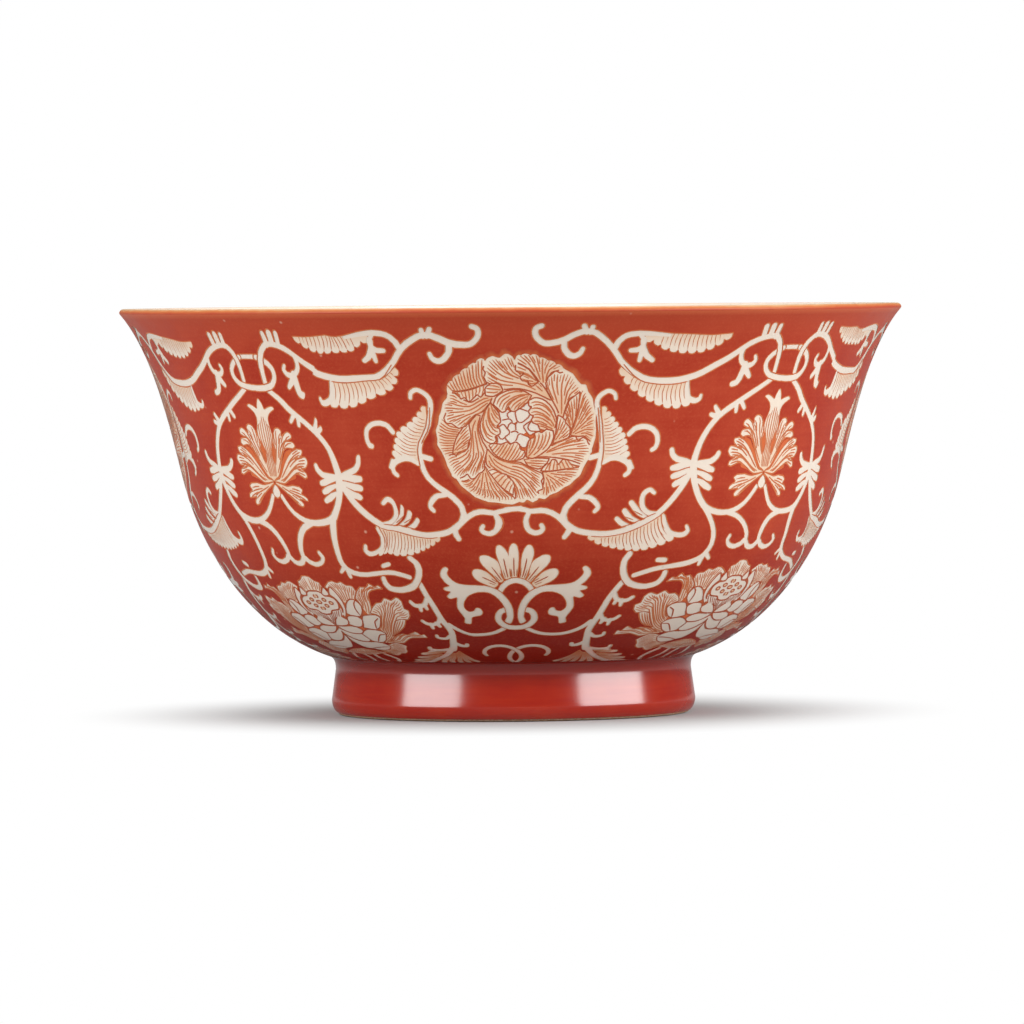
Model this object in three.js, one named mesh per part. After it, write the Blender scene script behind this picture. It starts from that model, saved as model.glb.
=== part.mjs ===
// A footed porcelain bowl with a flared lip, standing on its foot ring.
// Millimetres, +Z up. The origin is the centre of the foot ring's resting face.
//
// The bowl is fired as one, from bodies of different material laid over each other:
// a thrown body of porcelain paste, a foot ring of the same paste luted under it, skins of clear
// glaze, and coats of coral enamel. Each of these is one turned solid, and each skin is cut from
// the same line of points as the surface that it covers, so that neighbours meet face to face.

import * as THREE from "three";

// Foot ring
const FOOT_RADIUS = 34.9; // at its widest, a little above the tread
const FOOT_TREAD_WIDTH = 1.8; // the flat ring that the bowl stands on
const FOOT_EDGE_INSET = 2.1; // how far the rounded lower edge draws in to the tread
const FOOT_EDGE_HEIGHT = 2.9;
const FOOT_DRAW_IN = 0.8; // how much narrower the foot is where it is luted on
const FOOT_NECK_HEIGHT = 8.8;
const FOOT_BEVEL_WIDTH = 1.4; // the bevel from the tread to the inside wall
const FOOT_BEVEL_HEIGHT = 1.1;

// Outside wall, foot to lip
const FOOT_FILLET_WIDTH = 1.2; // the hollow between the foot and the belly
const BELLY_START_HEIGHT = 11.3; // where the wall springs from the foot
const BELLY_START_ANGLE = 19; // degrees above the horizontal
const BELLY_START_REACH = 16.0; // how far the curve holds that direction
const WAIST_RADIUS = 63.2; // where the belly passes into the flared side
const WAIST_HEIGHT = 45.9;
const WAIST_ANGLE = 76.4;
const WAIST_REACH_DOWN = 15.0;
const WAIST_REACH_UP = 10.2;
const LIP_RADIUS = 74.9; // where the outside wall meets the rounded edge of the lip
const LIP_HEIGHT = 77.2;
const LIP_ANGLE = 49;
const LIP_REACH = 9.2;
const LIP_ROUND = 0.45; // how far the rounded edge stands beyond the wall's end

// Thickness of the finished wall, skins included
const WALL_AT_FOOT = 3.6;
const WALL_AT_WAIST = 2.5;
const WALL_AT_LIP = 1.3;
const FLOOR_THICKNESS = 3.2; // middle of the well, down to the underside inside the foot

// Skins
const GLAZE_THICKNESS = 0.3;
const ENAMEL_THICKNESS = 0.12;
const BARE_TREAD_BAND = 0.5; // height up to which the glaze is wiped off the foot

// Fineness of the turned surfaces
const SEGMENTS = 48;
const BELLY_STEPS = 6;
const SIDE_STEPS = 5;
const WELL_STEPS = 4;
const ROUNDING_STEPS = 3;
const BARE_STEPS = 2;
const LIP_STEPS = 4;

// Radii that follow from the foot's own sizes
const FOOT_TREAD_OUTER_RADIUS = FOOT_RADIUS - FOOT_EDGE_INSET;
const FOOT_TREAD_INNER_RADIUS = FOOT_TREAD_OUTER_RADIUS - FOOT_TREAD_WIDTH;
const FOOT_INNER_RADIUS = FOOT_TREAD_INNER_RADIUS - FOOT_BEVEL_WIDTH;
const FOOT_NECK_RADIUS = FOOT_RADIUS - FOOT_DRAW_IN;
const BELLY_START_RADIUS = FOOT_NECK_RADIUS + FOOT_FILLET_WIDTH;

const radians = THREE.MathUtils.degToRad;
const point = (radius, height) => new THREE.Vector2(radius, height);
const heading = (degrees) => point(Math.cos(radians(degrees)), Math.sin(radians(degrees)));

// A curve that leaves one point in one direction and reaches another in a second direction
function swing(from, fromAngle, fromReach, to, toAngle, toReach) {
  return new THREE.CubicBezierCurve(
    from,
    from.clone().addScaledVector(heading(fromAngle), fromReach),
    to.clone().addScaledVector(heading(toAngle), -toReach),
    to,
  );
}

// Points of a curve without its last one, so that the next curve can follow on
const allButLast = (curve, steps) => curve.getPoints(steps).slice(0, -1);

// The finished outside as one line of points, from the tread up to the lip
function outsideFace() {
  const shoulder = point(FOOT_RADIUS, FOOT_EDGE_HEIGHT);
  const neck = point(FOOT_NECK_RADIUS, FOOT_NECK_HEIGHT);
  const bellyStart = point(BELLY_START_RADIUS, BELLY_START_HEIGHT);
  const waist = point(WAIST_RADIUS, WAIST_HEIGHT);
  const lip = point(LIP_RADIUS, LIP_HEIGHT);
  const edge = (from, to) =>
    new THREE.EllipseCurve(
      FOOT_TREAD_OUTER_RADIUS,
      FOOT_EDGE_HEIGHT,
      FOOT_EDGE_INSET,
      FOOT_EDGE_HEIGHT,
      from,
      to,
    );
  const wipeLine = Math.asin(BARE_TREAD_BAND / FOOT_EDGE_HEIGHT - 1);
  const bareEdge = allButLast(edge(-Math.PI / 2, wipeLine), BARE_STEPS);
  const glazedEdge = allButLast(edge(wipeLine, 0), ROUNDING_STEPS);
  const cornerDrop = FOOT_FILLET_WIDTH * Math.tan(radians(BELLY_START_ANGLE));
  const corner = point(FOOT_NECK_RADIUS, BELLY_START_HEIGHT - cornerDrop);
  const fillet = new THREE.QuadraticBezierCurve(neck, corner, bellyStart);
  const belly = swing(
    bellyStart,
    BELLY_START_ANGLE,
    BELLY_START_REACH,
    waist,
    WAIST_ANGLE,
    WAIST_REACH_DOWN,
  );
  const side = swing(waist, WAIST_ANGLE, WAIST_REACH_UP, lip, LIP_ANGLE, LIP_REACH);
  const foot = [...bareEdge, ...glazedEdge, shoulder];
  const turn = allButLast(fillet, ROUNDING_STEPS);
  const wall = [...allButLast(belly, BELLY_STEPS), ...side.getPoints(SIDE_STEPS)];
  return {
    points: [...foot, ...turn, ...wall],
    glazeIndex: bareEdge.length,
    neckIndex: foot.length,
    wallIndex: foot.length + turn.length,
  };
}

// Directions pointing out of the material, on the right-hand side of a line walked upwards
function outwardNormals(line) {
  return line.map((_, i) => {
    const before = line[Math.max(i - 1, 0)];
    const after = line[Math.min(i + 1, line.length - 1)];
    const along = after.clone().sub(before).normalize();
    return point(along.y, -along.x);
  });
}

// The same line moved into the material, with a depth for each point
function inset(line, normals, depths) {
  return line.map((p, i) => p.clone().addScaledVector(normals[i], -depths[i]));
}

// Smooth change from one value to another as share goes from 0 to 1
const ease = (from, to, share) => from + (to - from) * THREE.MathUtils.smoothstep(share, 0, 1);

const outside = outsideFace();
const normals = outwardNormals(outside.points);
normals[normals.length - 1] = point(
  Math.sin(radians(LIP_ANGLE)),
  -Math.cos(radians(LIP_ANGLE)),
);
const { points: coatFace, glazeIndex, neckIndex, wallIndex } = outside;
const skinned = (depth) => coatFace.map((_, i) => (i < glazeIndex ? 0 : depth));
const glazeFace = inset(coatFace, normals, skinned(ENAMEL_THICKNESS));
const pasteFace = inset(coatFace, normals, skinned(ENAMEL_THICKNESS + GLAZE_THICKNESS));

// The foot ring is luted to the body on this plane, which is also the ceiling of the foot
const seatHeight = pasteFace[neckIndex].y;

// The finished inside as a line of points, from the middle of the well up to the lip
function insideFace() {
  const wall = coatFace.slice(wallIndex);
  const thickness = wall.map((_, i) =>
    i <= BELLY_STEPS
      ? ease(WALL_AT_FOOT, WALL_AT_WAIST, i / BELLY_STEPS)
      : ease(WALL_AT_WAIST, WALL_AT_LIP, (i - BELLY_STEPS) / SIDE_STEPS),
  );
  const side = inset(wall, normals.slice(wallIndex), thickness);
  const middle = point(0, seatHeight + FLOOR_THICKNESS);
  const edgeRun = (side[0].y - middle.y) / Math.tan(radians(BELLY_START_ANGLE));
  const well = new THREE.CubicBezierCurve(
    middle,
    point(side[0].x / 2, middle.y),
    point(side[0].x - edgeRun, middle.y),
    side[0],
  );
  return [...allButLast(well, WELL_STEPS), ...side];
}

const liningFace = insideFace();
const liningNormals = outwardNormals(liningFace).map((n) => n.negate());
liningNormals[0] = point(0, 1);
liningNormals[liningNormals.length - 1] = normals.at(-1).clone().negate();
const wellFace = inset(
  liningFace,
  liningNormals,
  liningFace.map(() => GLAZE_THICKNESS),
);

// The inside of the foot ring, from the tread up to the ceiling
const footInside = [
  point(FOOT_TREAD_INNER_RADIUS, 0),
  point(FOOT_INNER_RADIUS, FOOT_BEVEL_HEIGHT),
  point(FOOT_INNER_RADIUS, seatHeight),
];

// The rounded edge of the lip, from the outside face over the top to the inside face
function lipCap() {
  const from = coatFace.at(-1);
  const to = liningFace.at(-1);
  const middle = from.clone().add(to).multiplyScalar(0.5);
  const across = from.clone().sub(middle);
  const beyond = heading(LIP_ANGLE).multiplyScalar(LIP_ROUND);
  const cap = [];
  for (let i = 1; i < LIP_STEPS; i++) {
    const turn = (Math.PI * i) / LIP_STEPS;
    cap.push(
      middle
        .clone()
        .addScaledVector(across, Math.cos(turn))
        .addScaledVector(beyond, Math.sin(turn)),
    );
  }
  return cap;
}

// One solid for each body of material. A profile runs anticlockwise round its cross-section,
// radius to the right and height upwards.
const profiles = {
  thrown_body: [
    point(0, seatHeight),
    point(FOOT_INNER_RADIUS, seatHeight),
    ...pasteFace.slice(neckIndex),
    ...wellFace.toReversed(),
  ],
  foot_ring: [...pasteFace.slice(0, neckIndex + 1), ...footInside.toReversed()],
  inside_glaze: [...wellFace, ...liningFace.toReversed()],
  outside_glaze: [...glazeFace.slice(glazeIndex), ...pasteFace.slice(glazeIndex).toReversed()],
  base_glaze: [
    point(0, seatHeight - GLAZE_THICKNESS),
    point(FOOT_INNER_RADIUS - GLAZE_THICKNESS, seatHeight - GLAZE_THICKNESS),
    point(FOOT_INNER_RADIUS - GLAZE_THICKNESS, FOOT_BEVEL_HEIGHT),
    point(FOOT_INNER_RADIUS, FOOT_BEVEL_HEIGHT),
    point(FOOT_INNER_RADIUS, seatHeight),
    point(0, seatHeight),
  ],
  coral_foot_coat: [
    ...coatFace.slice(glazeIndex, wallIndex + 1),
    ...glazeFace.slice(glazeIndex, wallIndex + 1).toReversed(),
  ],
  coral_wall_coat: [...coatFace.slice(wallIndex), ...glazeFace.slice(wallIndex).toReversed()],
  lip_edge: [
    pasteFace.at(-1),
    glazeFace.at(-1),
    coatFace.at(-1),
    ...lipCap(),
    liningFace.at(-1),
    wellFace.at(-1),
  ],
};

// Colours and finishes. The paste shows only on the tread.
const finishes = {
  paste: { color: 0xe6ddcb, roughness: 0.85 },
  clearGlaze: { color: 0xf3efe4, roughness: 0.12 },
  coralEnamel: { color: 0xa83a22, roughness: 0.28 },
  lipGlaze: { color: 0xdcb98a, roughness: 0.2 },
};
const finishOf = {
  thrown_body: finishes.paste,
  foot_ring: finishes.paste,
  inside_glaze: finishes.clearGlaze,
  outside_glaze: finishes.clearGlaze,
  base_glaze: finishes.clearGlaze,
  coral_foot_coat: finishes.coralEnamel,
  coral_wall_coat: finishes.coralEnamel,
  lip_edge: finishes.lipGlaze,
};

// A profile turned about +Z. One that touches the axis ends there; any other closes on itself.
function turned(name, profile) {
  const closed = profile.some((p) => p.x === 0) ? profile : [...profile, profile[0]];
  const geometry = new THREE.LatheGeometry(closed, SEGMENTS).rotateX(Math.PI / 2);
  const material = new THREE.MeshStandardMaterial({ ...finishOf[name], metalness: 0 });
  const mesh = new THREE.Mesh(geometry, material);
  mesh.name = name;
  return mesh;
}

const bowl = new THREE.Group();
for (const [name, profile] of Object.entries(profiles)) bowl.add(turned(name, profile));

export default bowl;
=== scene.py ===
# %% [markdown]
# A porcelain bowl with a scroll left white in a coral red ground.
# The bowl was packed first as eight plain turned solids, and that frame fixes every size and place
# here. This script gives each of them the fine surface, the painting and the finish of the real
# bowl. Lengths are written in millimetres, as a potter would, and turned into metres at the end.

# %% Load the frame
from math import asin, cos, pi, radians, sin, tan

import bpy
import numpy as np
from mathutils import Matrix, Vector
from mathutils.geometry import delaunay_2d_cdt


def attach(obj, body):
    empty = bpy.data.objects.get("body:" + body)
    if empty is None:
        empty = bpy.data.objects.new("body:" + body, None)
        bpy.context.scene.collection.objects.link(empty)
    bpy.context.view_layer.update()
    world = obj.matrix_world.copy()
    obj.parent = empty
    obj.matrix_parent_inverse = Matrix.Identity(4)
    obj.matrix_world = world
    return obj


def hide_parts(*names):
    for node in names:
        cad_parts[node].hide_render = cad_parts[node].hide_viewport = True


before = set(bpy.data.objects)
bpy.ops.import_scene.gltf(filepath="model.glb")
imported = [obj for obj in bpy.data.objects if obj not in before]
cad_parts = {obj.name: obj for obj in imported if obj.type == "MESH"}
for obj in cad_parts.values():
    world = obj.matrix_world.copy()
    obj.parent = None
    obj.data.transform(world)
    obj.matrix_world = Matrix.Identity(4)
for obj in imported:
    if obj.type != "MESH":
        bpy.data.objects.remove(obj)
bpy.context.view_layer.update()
MM = 0.001
print("frame:", sorted(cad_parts))

# %% [markdown]
# The camera stands as far away as the photographer's long lens did, so the rim is almost a line.
# The two ends of the lip aren't level in the picture: that is the camera's own small tilt, and it
# is given to the camera here, because a bowl off the wheel is level.

# %% Camera
EYE_DISTANCE = 1606
EYE_HEIGHT = 84
EYE_PITCH = -1.62
EYE_ROLL = -0.5
LENS = 294.1

lens = bpy.data.cameras.new("long_lens")
lens.lens = LENS
lens.clip_start = 0.1
lens.clip_end = 50
eye = bpy.data.objects.new("long_lens", lens)
eye.matrix_world = (
    Matrix.Translation((0, -EYE_DISTANCE * MM, EYE_HEIGHT * MM))
    @ Matrix.Rotation(radians(90 + EYE_PITCH), 4, "X")
    @ Matrix.Rotation(radians(EYE_ROLL), 4, "Z")
)
bpy.context.scene.collection.objects.link(eye)
bpy.context.scene.camera = eye
bpy.context.scene.view_settings.view_transform = "Standard"
print("the eye is", EYE_DISTANCE, "mm away and", EYE_HEIGHT, "mm above the table")

# %% [markdown]
# Nodes are added through one small class, for materials and for geometry alike. What comes out of
# a node is wrapped in a Wire, whose operators add Math nodes, so that a formula reads as one.

# %% Wires and nodes
class Wire:
    """What comes out of a node. Sums and products of wires add Math nodes."""

    def __init__(self, nodes, socket):
        self.nodes = nodes
        self.socket = socket

    def math(self, operation, *values):
        inputs = dict(enumerate(values))
        return self.nodes.add("ShaderNodeMath", inputs, operation=operation)

    def __add__(self, other):
        return self.math("ADD", self, other)

    def __sub__(self, other):
        return self.math("SUBTRACT", self, other)

    def __rsub__(self, other):
        return self.math("SUBTRACT", other, self)

    def __mul__(self, other):
        return self.math("MULTIPLY", self, other)

    def __truediv__(self, other):
        return self.math("DIVIDE", self, other)

    def __gt__(self, other):
        return self.math("GREATER_THAN", self, other)

    __radd__ = __add__
    __rmul__ = __mul__

    def clamped(self):
        return self.math("MINIMUM", self.math("MAXIMUM", self, 0.0), 1.0)

    def xyz(self):
        parts = self.nodes.add("ShaderNodeSeparateXYZ", {0: self}).socket.node.outputs
        return [Wire(self.nodes, part) for part in parts]


class Nodes:
    """Adds nodes to one tree."""

    def __init__(self, tree):
        self.tree = tree

    def add(self, kind, inputs=None, out=0, **settings):
        """A node of one kind. Its settings come first, then what each of its sockets gets."""
        node = self.tree.nodes.new(kind)
        for name, value in settings.items():
            setattr(node, name, value)
        for key, value in (inputs or {}).items():
            self.feed(node.inputs[key], value)
        return Wire(self, node.outputs[out]) if node.outputs else node

    def feed(self, socket, value):
        if isinstance(value, Wire):
            self.tree.links.new(value.socket, socket)
        else:
            socket.default_value = value


print("Nodes.add adds a node, and what comes out of it is a Wire")

# %% [markdown]
# A soft box stands to the left and a larger one to the right, as the two bright patches on the foot
# show. A third, weaker one hangs above and a little behind the bowl. Each is an area
# lamp that aims at the middle of the bowl, placed by how far it is turned from the camera's side and
# how high it stands, both in degrees.

# %% Soft boxes
SOFT_BOXES = {
    "soft_box_left": {"turn": -54, "rise": 14, "wide": 900, "high": 1100, "watts": 18.4},
    "soft_box_right": {"turn": 66, "rise": 14, "wide": 1100, "high": 1100, "watts": 24.2},
    "soft_box_above": {"turn": 180, "rise": 76, "wide": 1000, "high": 1000, "watts": 9.0},
}
BOX_DISTANCE = 1250
AIM_HEIGHT = 40


def soft_box(name, turn, rise, wide, high, watts):
    light = bpy.data.lights.new(name, "AREA")
    light.shape = "RECTANGLE"
    light.size = wide * MM
    light.size_y = high * MM
    light.energy = watts
    turn, rise = radians(turn), radians(rise)
    way = Vector((sin(turn) * cos(rise), -cos(turn) * cos(rise), sin(rise)))
    lamp = bpy.data.objects.new(name, light)
    lamp.location = Vector((0, 0, AIM_HEIGHT)) * MM + way * BOX_DISTANCE * MM
    lamp.rotation_euler = way.to_track_quat("Z", "Y").to_euler()
    bpy.context.scene.collection.objects.link(lamp)


for box_name, box in SOFT_BOXES.items():
    soft_box(box_name, **box)
print("lit by", ", ".join(SOFT_BOXES))

# %% [markdown]
# The room is plain white to the camera and lights the bowl evenly. Light Path tells the world what
# sort of ray asks. The glaze gets a dimmer room to reflect, because on the real bowl it shows little
# else than the soft boxes.

# %% The room
ROOM_GLOW = 0.42
ROOM_SHEEN = 0.15

world = bpy.data.worlds.new("white_room")
world.use_nodes = True
room = Nodes(world.node_tree)
room_light = world.node_tree.nodes["Background"]
for_camera = room.add("ShaderNodeLightPath", out="Is Camera Ray")
for_sheen = room.add("ShaderNodeLightPath", out="Is Glossy Ray")
glow = ROOM_GLOW - for_sheen * (ROOM_GLOW - ROOM_SHEEN)
room.feed(room_light.inputs["Color"], (1, 1, 1, 1))
room.feed(room_light.inputs["Strength"], for_camera * (1 - ROOM_GLOW) + glow)
bpy.context.scene.world = world
print("the room glows at", ROOM_GLOW, "and at", ROOM_SHEEN, "where the glaze reflects it")

# %% [markdown]
# The bowl stands on pale paper with a fine grain. The paper sends little light back up, so the bowl
# is dark underneath. To the camera alone it is paler, and away from the bowl it turns into plain
# white, so that only the soft shadow beside the foot is left of it.

# %% The paper floor
FLOOR_GREY = 0.33
FLOOR_SEEN = 0.50
FLOOR_STARTS_TO_FADE = 30
FLOOR_IS_WHITE = 88
PAPER_GRAIN = 900.0
GRAIN_DEPTH = 0.04
FLOOR_SIZE = 6000


def paper():
    material = bpy.data.materials.new("paper_floor")
    material.use_nodes = True
    nodes = Nodes(material.node_tree)
    seen = nodes.add("ShaderNodeLightPath", out="Is Camera Ray")
    place = nodes.add("ShaderNodeTexCoord", out="Object")
    grain = nodes.add("ShaderNodeTexNoise", {"Vector": place, "Scale": PAPER_GRAIN, "Detail": 3.0})
    tone = ((grain - 0.5) * GRAIN_DEPTH + 1) * (seen * (FLOOR_SEEN - FLOOR_GREY) + FLOOR_GREY)
    grey = nodes.add("ShaderNodeCombineColor", {0: tone, 1: tone, 2: tone})
    matt = nodes.add("ShaderNodeBsdfDiffuse", {"Color": grey})
    white = nodes.add("ShaderNodeEmission", {"Strength": 1.0})
    radius = nodes.add("ShaderNodeVectorMath", {0: place}, out="Value", operation="LENGTH")
    ends = {"From Min": FLOOR_STARTS_TO_FADE * MM, "From Max": FLOOR_IS_WHITE * MM}
    away = nodes.add("ShaderNodeMapRange", {"Value": radius, **ends}, interpolation_type="SMOOTHSTEP")
    mix = nodes.add("ShaderNodeMixShader", {0: away * seen, 1: matt, 2: white})
    nodes.feed(material.node_tree.nodes["Material Output"].inputs["Surface"], mix)
    return material


bpy.ops.mesh.primitive_plane_add(size=FLOOR_SIZE * MM, location=(0, 0, 0))
floor = bpy.context.object
floor.name = "paper_floor"
floor.data.materials.append(paper())
print("the floor turns white between", FLOOR_STARTS_TO_FADE, "and", FLOOR_IS_WHITE, "mm from the middle")

# %% [markdown]
# The outside of the bowl is one line: up the foot, round the small hollow above it, out along the
# belly, and up the flared side to the lip. Each stretch runs between places that a ruler on the
# bowl would give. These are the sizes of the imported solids, first those of the foot ring.

# %% Sizes of the foot
FOOT_RADIUS = 34.9
FOOT_TREAD_WIDTH = 1.8
FOOT_EDGE_INSET = 2.1
FOOT_EDGE_HEIGHT = 2.9
FOOT_DRAW_IN = 0.8
FOOT_NECK_HEIGHT = 8.8
FOOT_BEVEL_WIDTH = 1.4
FOOT_BEVEL_HEIGHT = 1.1
FOOT_FILLET_WIDTH = 1.2
BARE_TREAD_BAND = 0.5

FOOT_TREAD_OUTER_RADIUS = FOOT_RADIUS - FOOT_EDGE_INSET
FOOT_TREAD_INNER_RADIUS = FOOT_TREAD_OUTER_RADIUS - FOOT_TREAD_WIDTH
FOOT_INNER_RADIUS = FOOT_TREAD_INNER_RADIUS - FOOT_BEVEL_WIDTH
FOOT_NECK_RADIUS = FOOT_RADIUS - FOOT_DRAW_IN
BELLY_START_RADIUS = FOOT_NECK_RADIUS + FOOT_FILLET_WIDTH
print("the foot is", 2 * FOOT_RADIUS, "mm across")

# %% [markdown]
# The wall leaves the foot at a low angle, stands steepest at the waist and flares to the lip. An
# angle says which way the wall points there, and a reach how long it keeps to that angle.

# %% Sizes of the wall
BELLY_START_HEIGHT = 11.3
BELLY_START_ANGLE = 19
BELLY_START_REACH = 16.0
WAIST_RADIUS = 63.2
WAIST_HEIGHT = 45.9
WAIST_ANGLE = 76.4
WAIST_REACH_DOWN = 15.0
WAIST_REACH_UP = 10.2
LIP_RADIUS = 74.9
LIP_HEIGHT = 77.2
LIP_ANGLE = 49
LIP_REACH = 9.2
LIP_ROUND = 0.45
WALL_AT_FOOT = 3.6
WALL_AT_WAIST = 2.5
WALL_AT_LIP = 1.3
FLOOR_THICKNESS = 3.2
GLAZE_THICKNESS = 0.36
ENAMEL_THICKNESS = 0.06
print("the mouth is", 2 * LIP_RADIUS, "mm across, and the lip stands at", LIP_HEIGHT, "mm")

# %% [markdown]
# A stretch of the wall is a cubic curve, as a bent strip of wood would lie: it leaves one place in a
# given direction and comes to the next in another. More steps make it smoother.

# %% Curves
EDGE_STEPS = 8
FLANK_STEPS = 6
FILLET_STEPS = 8
BELLY_STEPS = 56
SIDE_STEPS = 44
WELL_STEPS = 26
LIP_STEPS = 12


def heading(angle):
    return np.array([cos(radians(angle)), sin(radians(angle))])


def bezier(points, steps):
    """Points of a cubic curve without its last one, so that the next curve can follow on."""
    a, b, c, d = (np.array(p, float) for p in points)
    t = np.linspace(0, 1, steps + 1)[:-1, None]
    return (1 - t) ** 3 * a + 3 * (1 - t) ** 2 * t * b + 3 * (1 - t) * t**2 * c + t**3 * d


def swing(start, start_angle, start_reach, end, end_angle, end_reach, steps):
    """A curve that leaves one point in one direction and reaches another in a second direction."""
    start, end = np.array(start), np.array(end)
    near = start + heading(start_angle) * start_reach
    far = end - heading(end_angle) * end_reach
    return bezier((start, near, far, end), steps)


def edge_round(start, end, steps):
    """The rounded lower edge of the foot, between two angles of its ellipse."""
    t = np.linspace(start, end, steps + 1)[:-1]
    radius = FOOT_TREAD_OUTER_RADIUS + FOOT_EDGE_INSET * np.cos(t)
    return np.stack([radius, FOOT_EDGE_HEIGHT * (1 + np.sin(t))], -1)


waist, lip = (WAIST_RADIUS, WAIST_HEIGHT), (LIP_RADIUS, LIP_HEIGHT)
side = swing(waist, WAIST_ANGLE, WAIST_REACH_UP, lip, LIP_ANGLE, LIP_REACH, SIDE_STEPS)
print("the side above the waist is drawn with", len(side), "points")

# %% [markdown]
# The stretches are joined from the tread upward. The potter wipes the glaze off the lowest part of
# the foot's edge, so that the bowl doesn't stick in the kiln, and the glaze starts above it.

# %% The outside line
wipe_line = asin(BARE_TREAD_BAND / FOOT_EDGE_HEIGHT - 1)
bare = edge_round(-pi / 2, wipe_line, 3)
glazed = edge_round(wipe_line, 0, EDGE_STEPS)
neck = np.array([FOOT_NECK_RADIUS, FOOT_NECK_HEIGHT])
flank = np.linspace([FOOT_RADIUS, FOOT_EDGE_HEIGHT], neck, FLANK_STEPS + 1)[:-1]
belly_start = np.array([BELLY_START_RADIUS, BELLY_START_HEIGHT])
corner_drop = FOOT_FILLET_WIDTH * tan(radians(BELLY_START_ANGLE))
corner = np.array([FOOT_NECK_RADIUS, BELLY_START_HEIGHT - corner_drop])
pulls = neck + (corner - neck) * 2 / 3, belly_start + (corner - belly_start) * 2 / 3
fillet = bezier((neck, *pulls, belly_start), FILLET_STEPS)
belly = swing(
    belly_start, BELLY_START_ANGLE, BELLY_START_REACH, waist, WAIST_ANGLE, WAIST_REACH_DOWN, BELLY_STEPS
)
coat_face = np.vstack([bare, glazed, flank, fillet, belly, side, [lip]])
glaze_index = len(bare)
neck_index = glaze_index + len(glazed) + len(flank)
wall_index = neck_index + len(fillet)
print("line of", len(coat_face), "points from the tread to the lip")

# %% [markdown]
# The enamel lies on the glaze and the glaze on the paste, each at its own depth under the outside
# line. Both faces are that line moved inward, from where the glaze starts.

# %% Under the enamel and under the glaze
def directions(line):
    """Unit vectors along a line of points, taken from each point's neighbours."""
    ahead = np.vstack([line[1:], line[-1:]]) - np.vstack([line[:1], line[:-1]])
    return ahead / np.linalg.norm(ahead, axis=1)[:, None]


along = directions(coat_face)
along[-1] = heading(LIP_ANGLE)
outward = np.stack([along[:, 1], -along[:, 0]], -1)
glazed_from = (np.arange(len(coat_face)) >= glaze_index)[:, None]
glaze_face = coat_face - outward * ENAMEL_THICKNESS * glazed_from
paste_face = coat_face - outward * (ENAMEL_THICKNESS + GLAZE_THICKNESS) * glazed_from
seat_height = paste_face[neck_index][1]
print("the foot meets the body at", round(seat_height, 2), "mm")

# %% [markdown]
# The inside follows the outside at the thickness of the wall, which thins from the foot to the lip,
# and runs flat across the middle of the well.

# %% The inside line
def ease(start, end, share):
    share = np.clip(share, 0, 1)
    return start + (end - start) * share**2 * (3 - 2 * share)


wall_steps = np.arange(BELLY_STEPS + SIDE_STEPS + 1)
lower = ease(WALL_AT_FOOT, WALL_AT_WAIST, wall_steps / BELLY_STEPS)
upper = ease(WALL_AT_WAIST, WALL_AT_LIP, (wall_steps - BELLY_STEPS) / SIDE_STEPS)
thickness = np.where(wall_steps <= BELLY_STEPS, lower, upper)[:, None]
inner_side = coat_face[wall_index:] - outward[wall_index:] * thickness
well_height = seat_height + FLOOR_THICKNESS
edge_radius, edge_height = inner_side[0]
edge_run = (edge_height - well_height) / tan(radians(BELLY_START_ANGLE))
well_pulls = (edge_radius / 2, well_height), (edge_radius - edge_run, well_height)
well = bezier(((0, well_height), *well_pulls, (edge_radius, edge_height)), WELL_STEPS)
lining_face = np.vstack([well, inner_side])
lining_along = directions(lining_face)
lining_along[0] = (1, 0)
lining_along[-1] = heading(LIP_ANGLE)
lining_up = np.stack([-lining_along[:, 1], lining_along[:, 0]], -1)
well_face = lining_face - lining_up * GLAZE_THICKNESS
print("the well is", round(LIP_HEIGHT - well_height, 1), "mm deep")

# %% [markdown]
# The lip is a small half round that closes the outside over to the inside.

# %% The lip
lip_middle = (coat_face[-1] + lining_face[-1]) / 2
lip_across = coat_face[-1] - lip_middle
lip_turn = np.linspace(0, pi, LIP_STEPS + 1)[1:-1, None]
lip_rise = heading(LIP_ANGLE) * LIP_ROUND
lip_cap = lip_middle + lip_across * np.cos(lip_turn) + lip_rise * np.sin(lip_turn)
print("the lip tops out at", round(lip_cap[:, 1].max(), 2), "mm")

# %% [markdown]
# Two helpers serve every Geometry Nodes tree here. One starts a tree with named inputs, and the
# other ends it with Realize Instances and Set Material, because the export drops instances.

# %% Starting and ending a tree
def new_tree(name, sockets):
    """An empty Geometry Nodes tree with named inputs, and wires from them by name."""
    tree = bpy.data.node_groups.new(name, "GeometryNodeTree")
    tree.is_modifier = True
    tree.interface.new_socket("Geometry", in_out="INPUT", socket_type="NodeSocketGeometry")
    for title, kind in sockets.items():
        tree.interface.new_socket(title, in_out="INPUT", socket_type="NodeSocket" + kind)
    tree.interface.new_socket("Geometry", in_out="OUTPUT", socket_type="NodeSocketGeometry")
    nodes = Nodes(tree)
    group = tree.nodes.new("NodeGroupInput")
    given = {socket.name: Wire(nodes, socket) for socket in group.outputs if socket.name}
    print("tree", name, "takes", ", ".join(sockets))
    return nodes, given


def end_tree(nodes, geometry, material):
    real = nodes.add("GeometryNodeRealizeInstances", {0: geometry})
    painted = nodes.add("GeometryNodeSetMaterial", {"Geometry": real, "Material": material})
    nodes.add("NodeGroupOutput", {0: painted})
    return nodes.tree


def round_the_axis(nodes, radius, turn, height):
    """A place on the bowl from its radius, its turn from the front and its height."""
    x = radius * turn.math("SINE", turn)
    y = radius * turn.math("COSINE", turn) * -1
    return nodes.add("ShaderNodeCombineXYZ", {"X": x, "Y": y, "Z": height})

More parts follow.
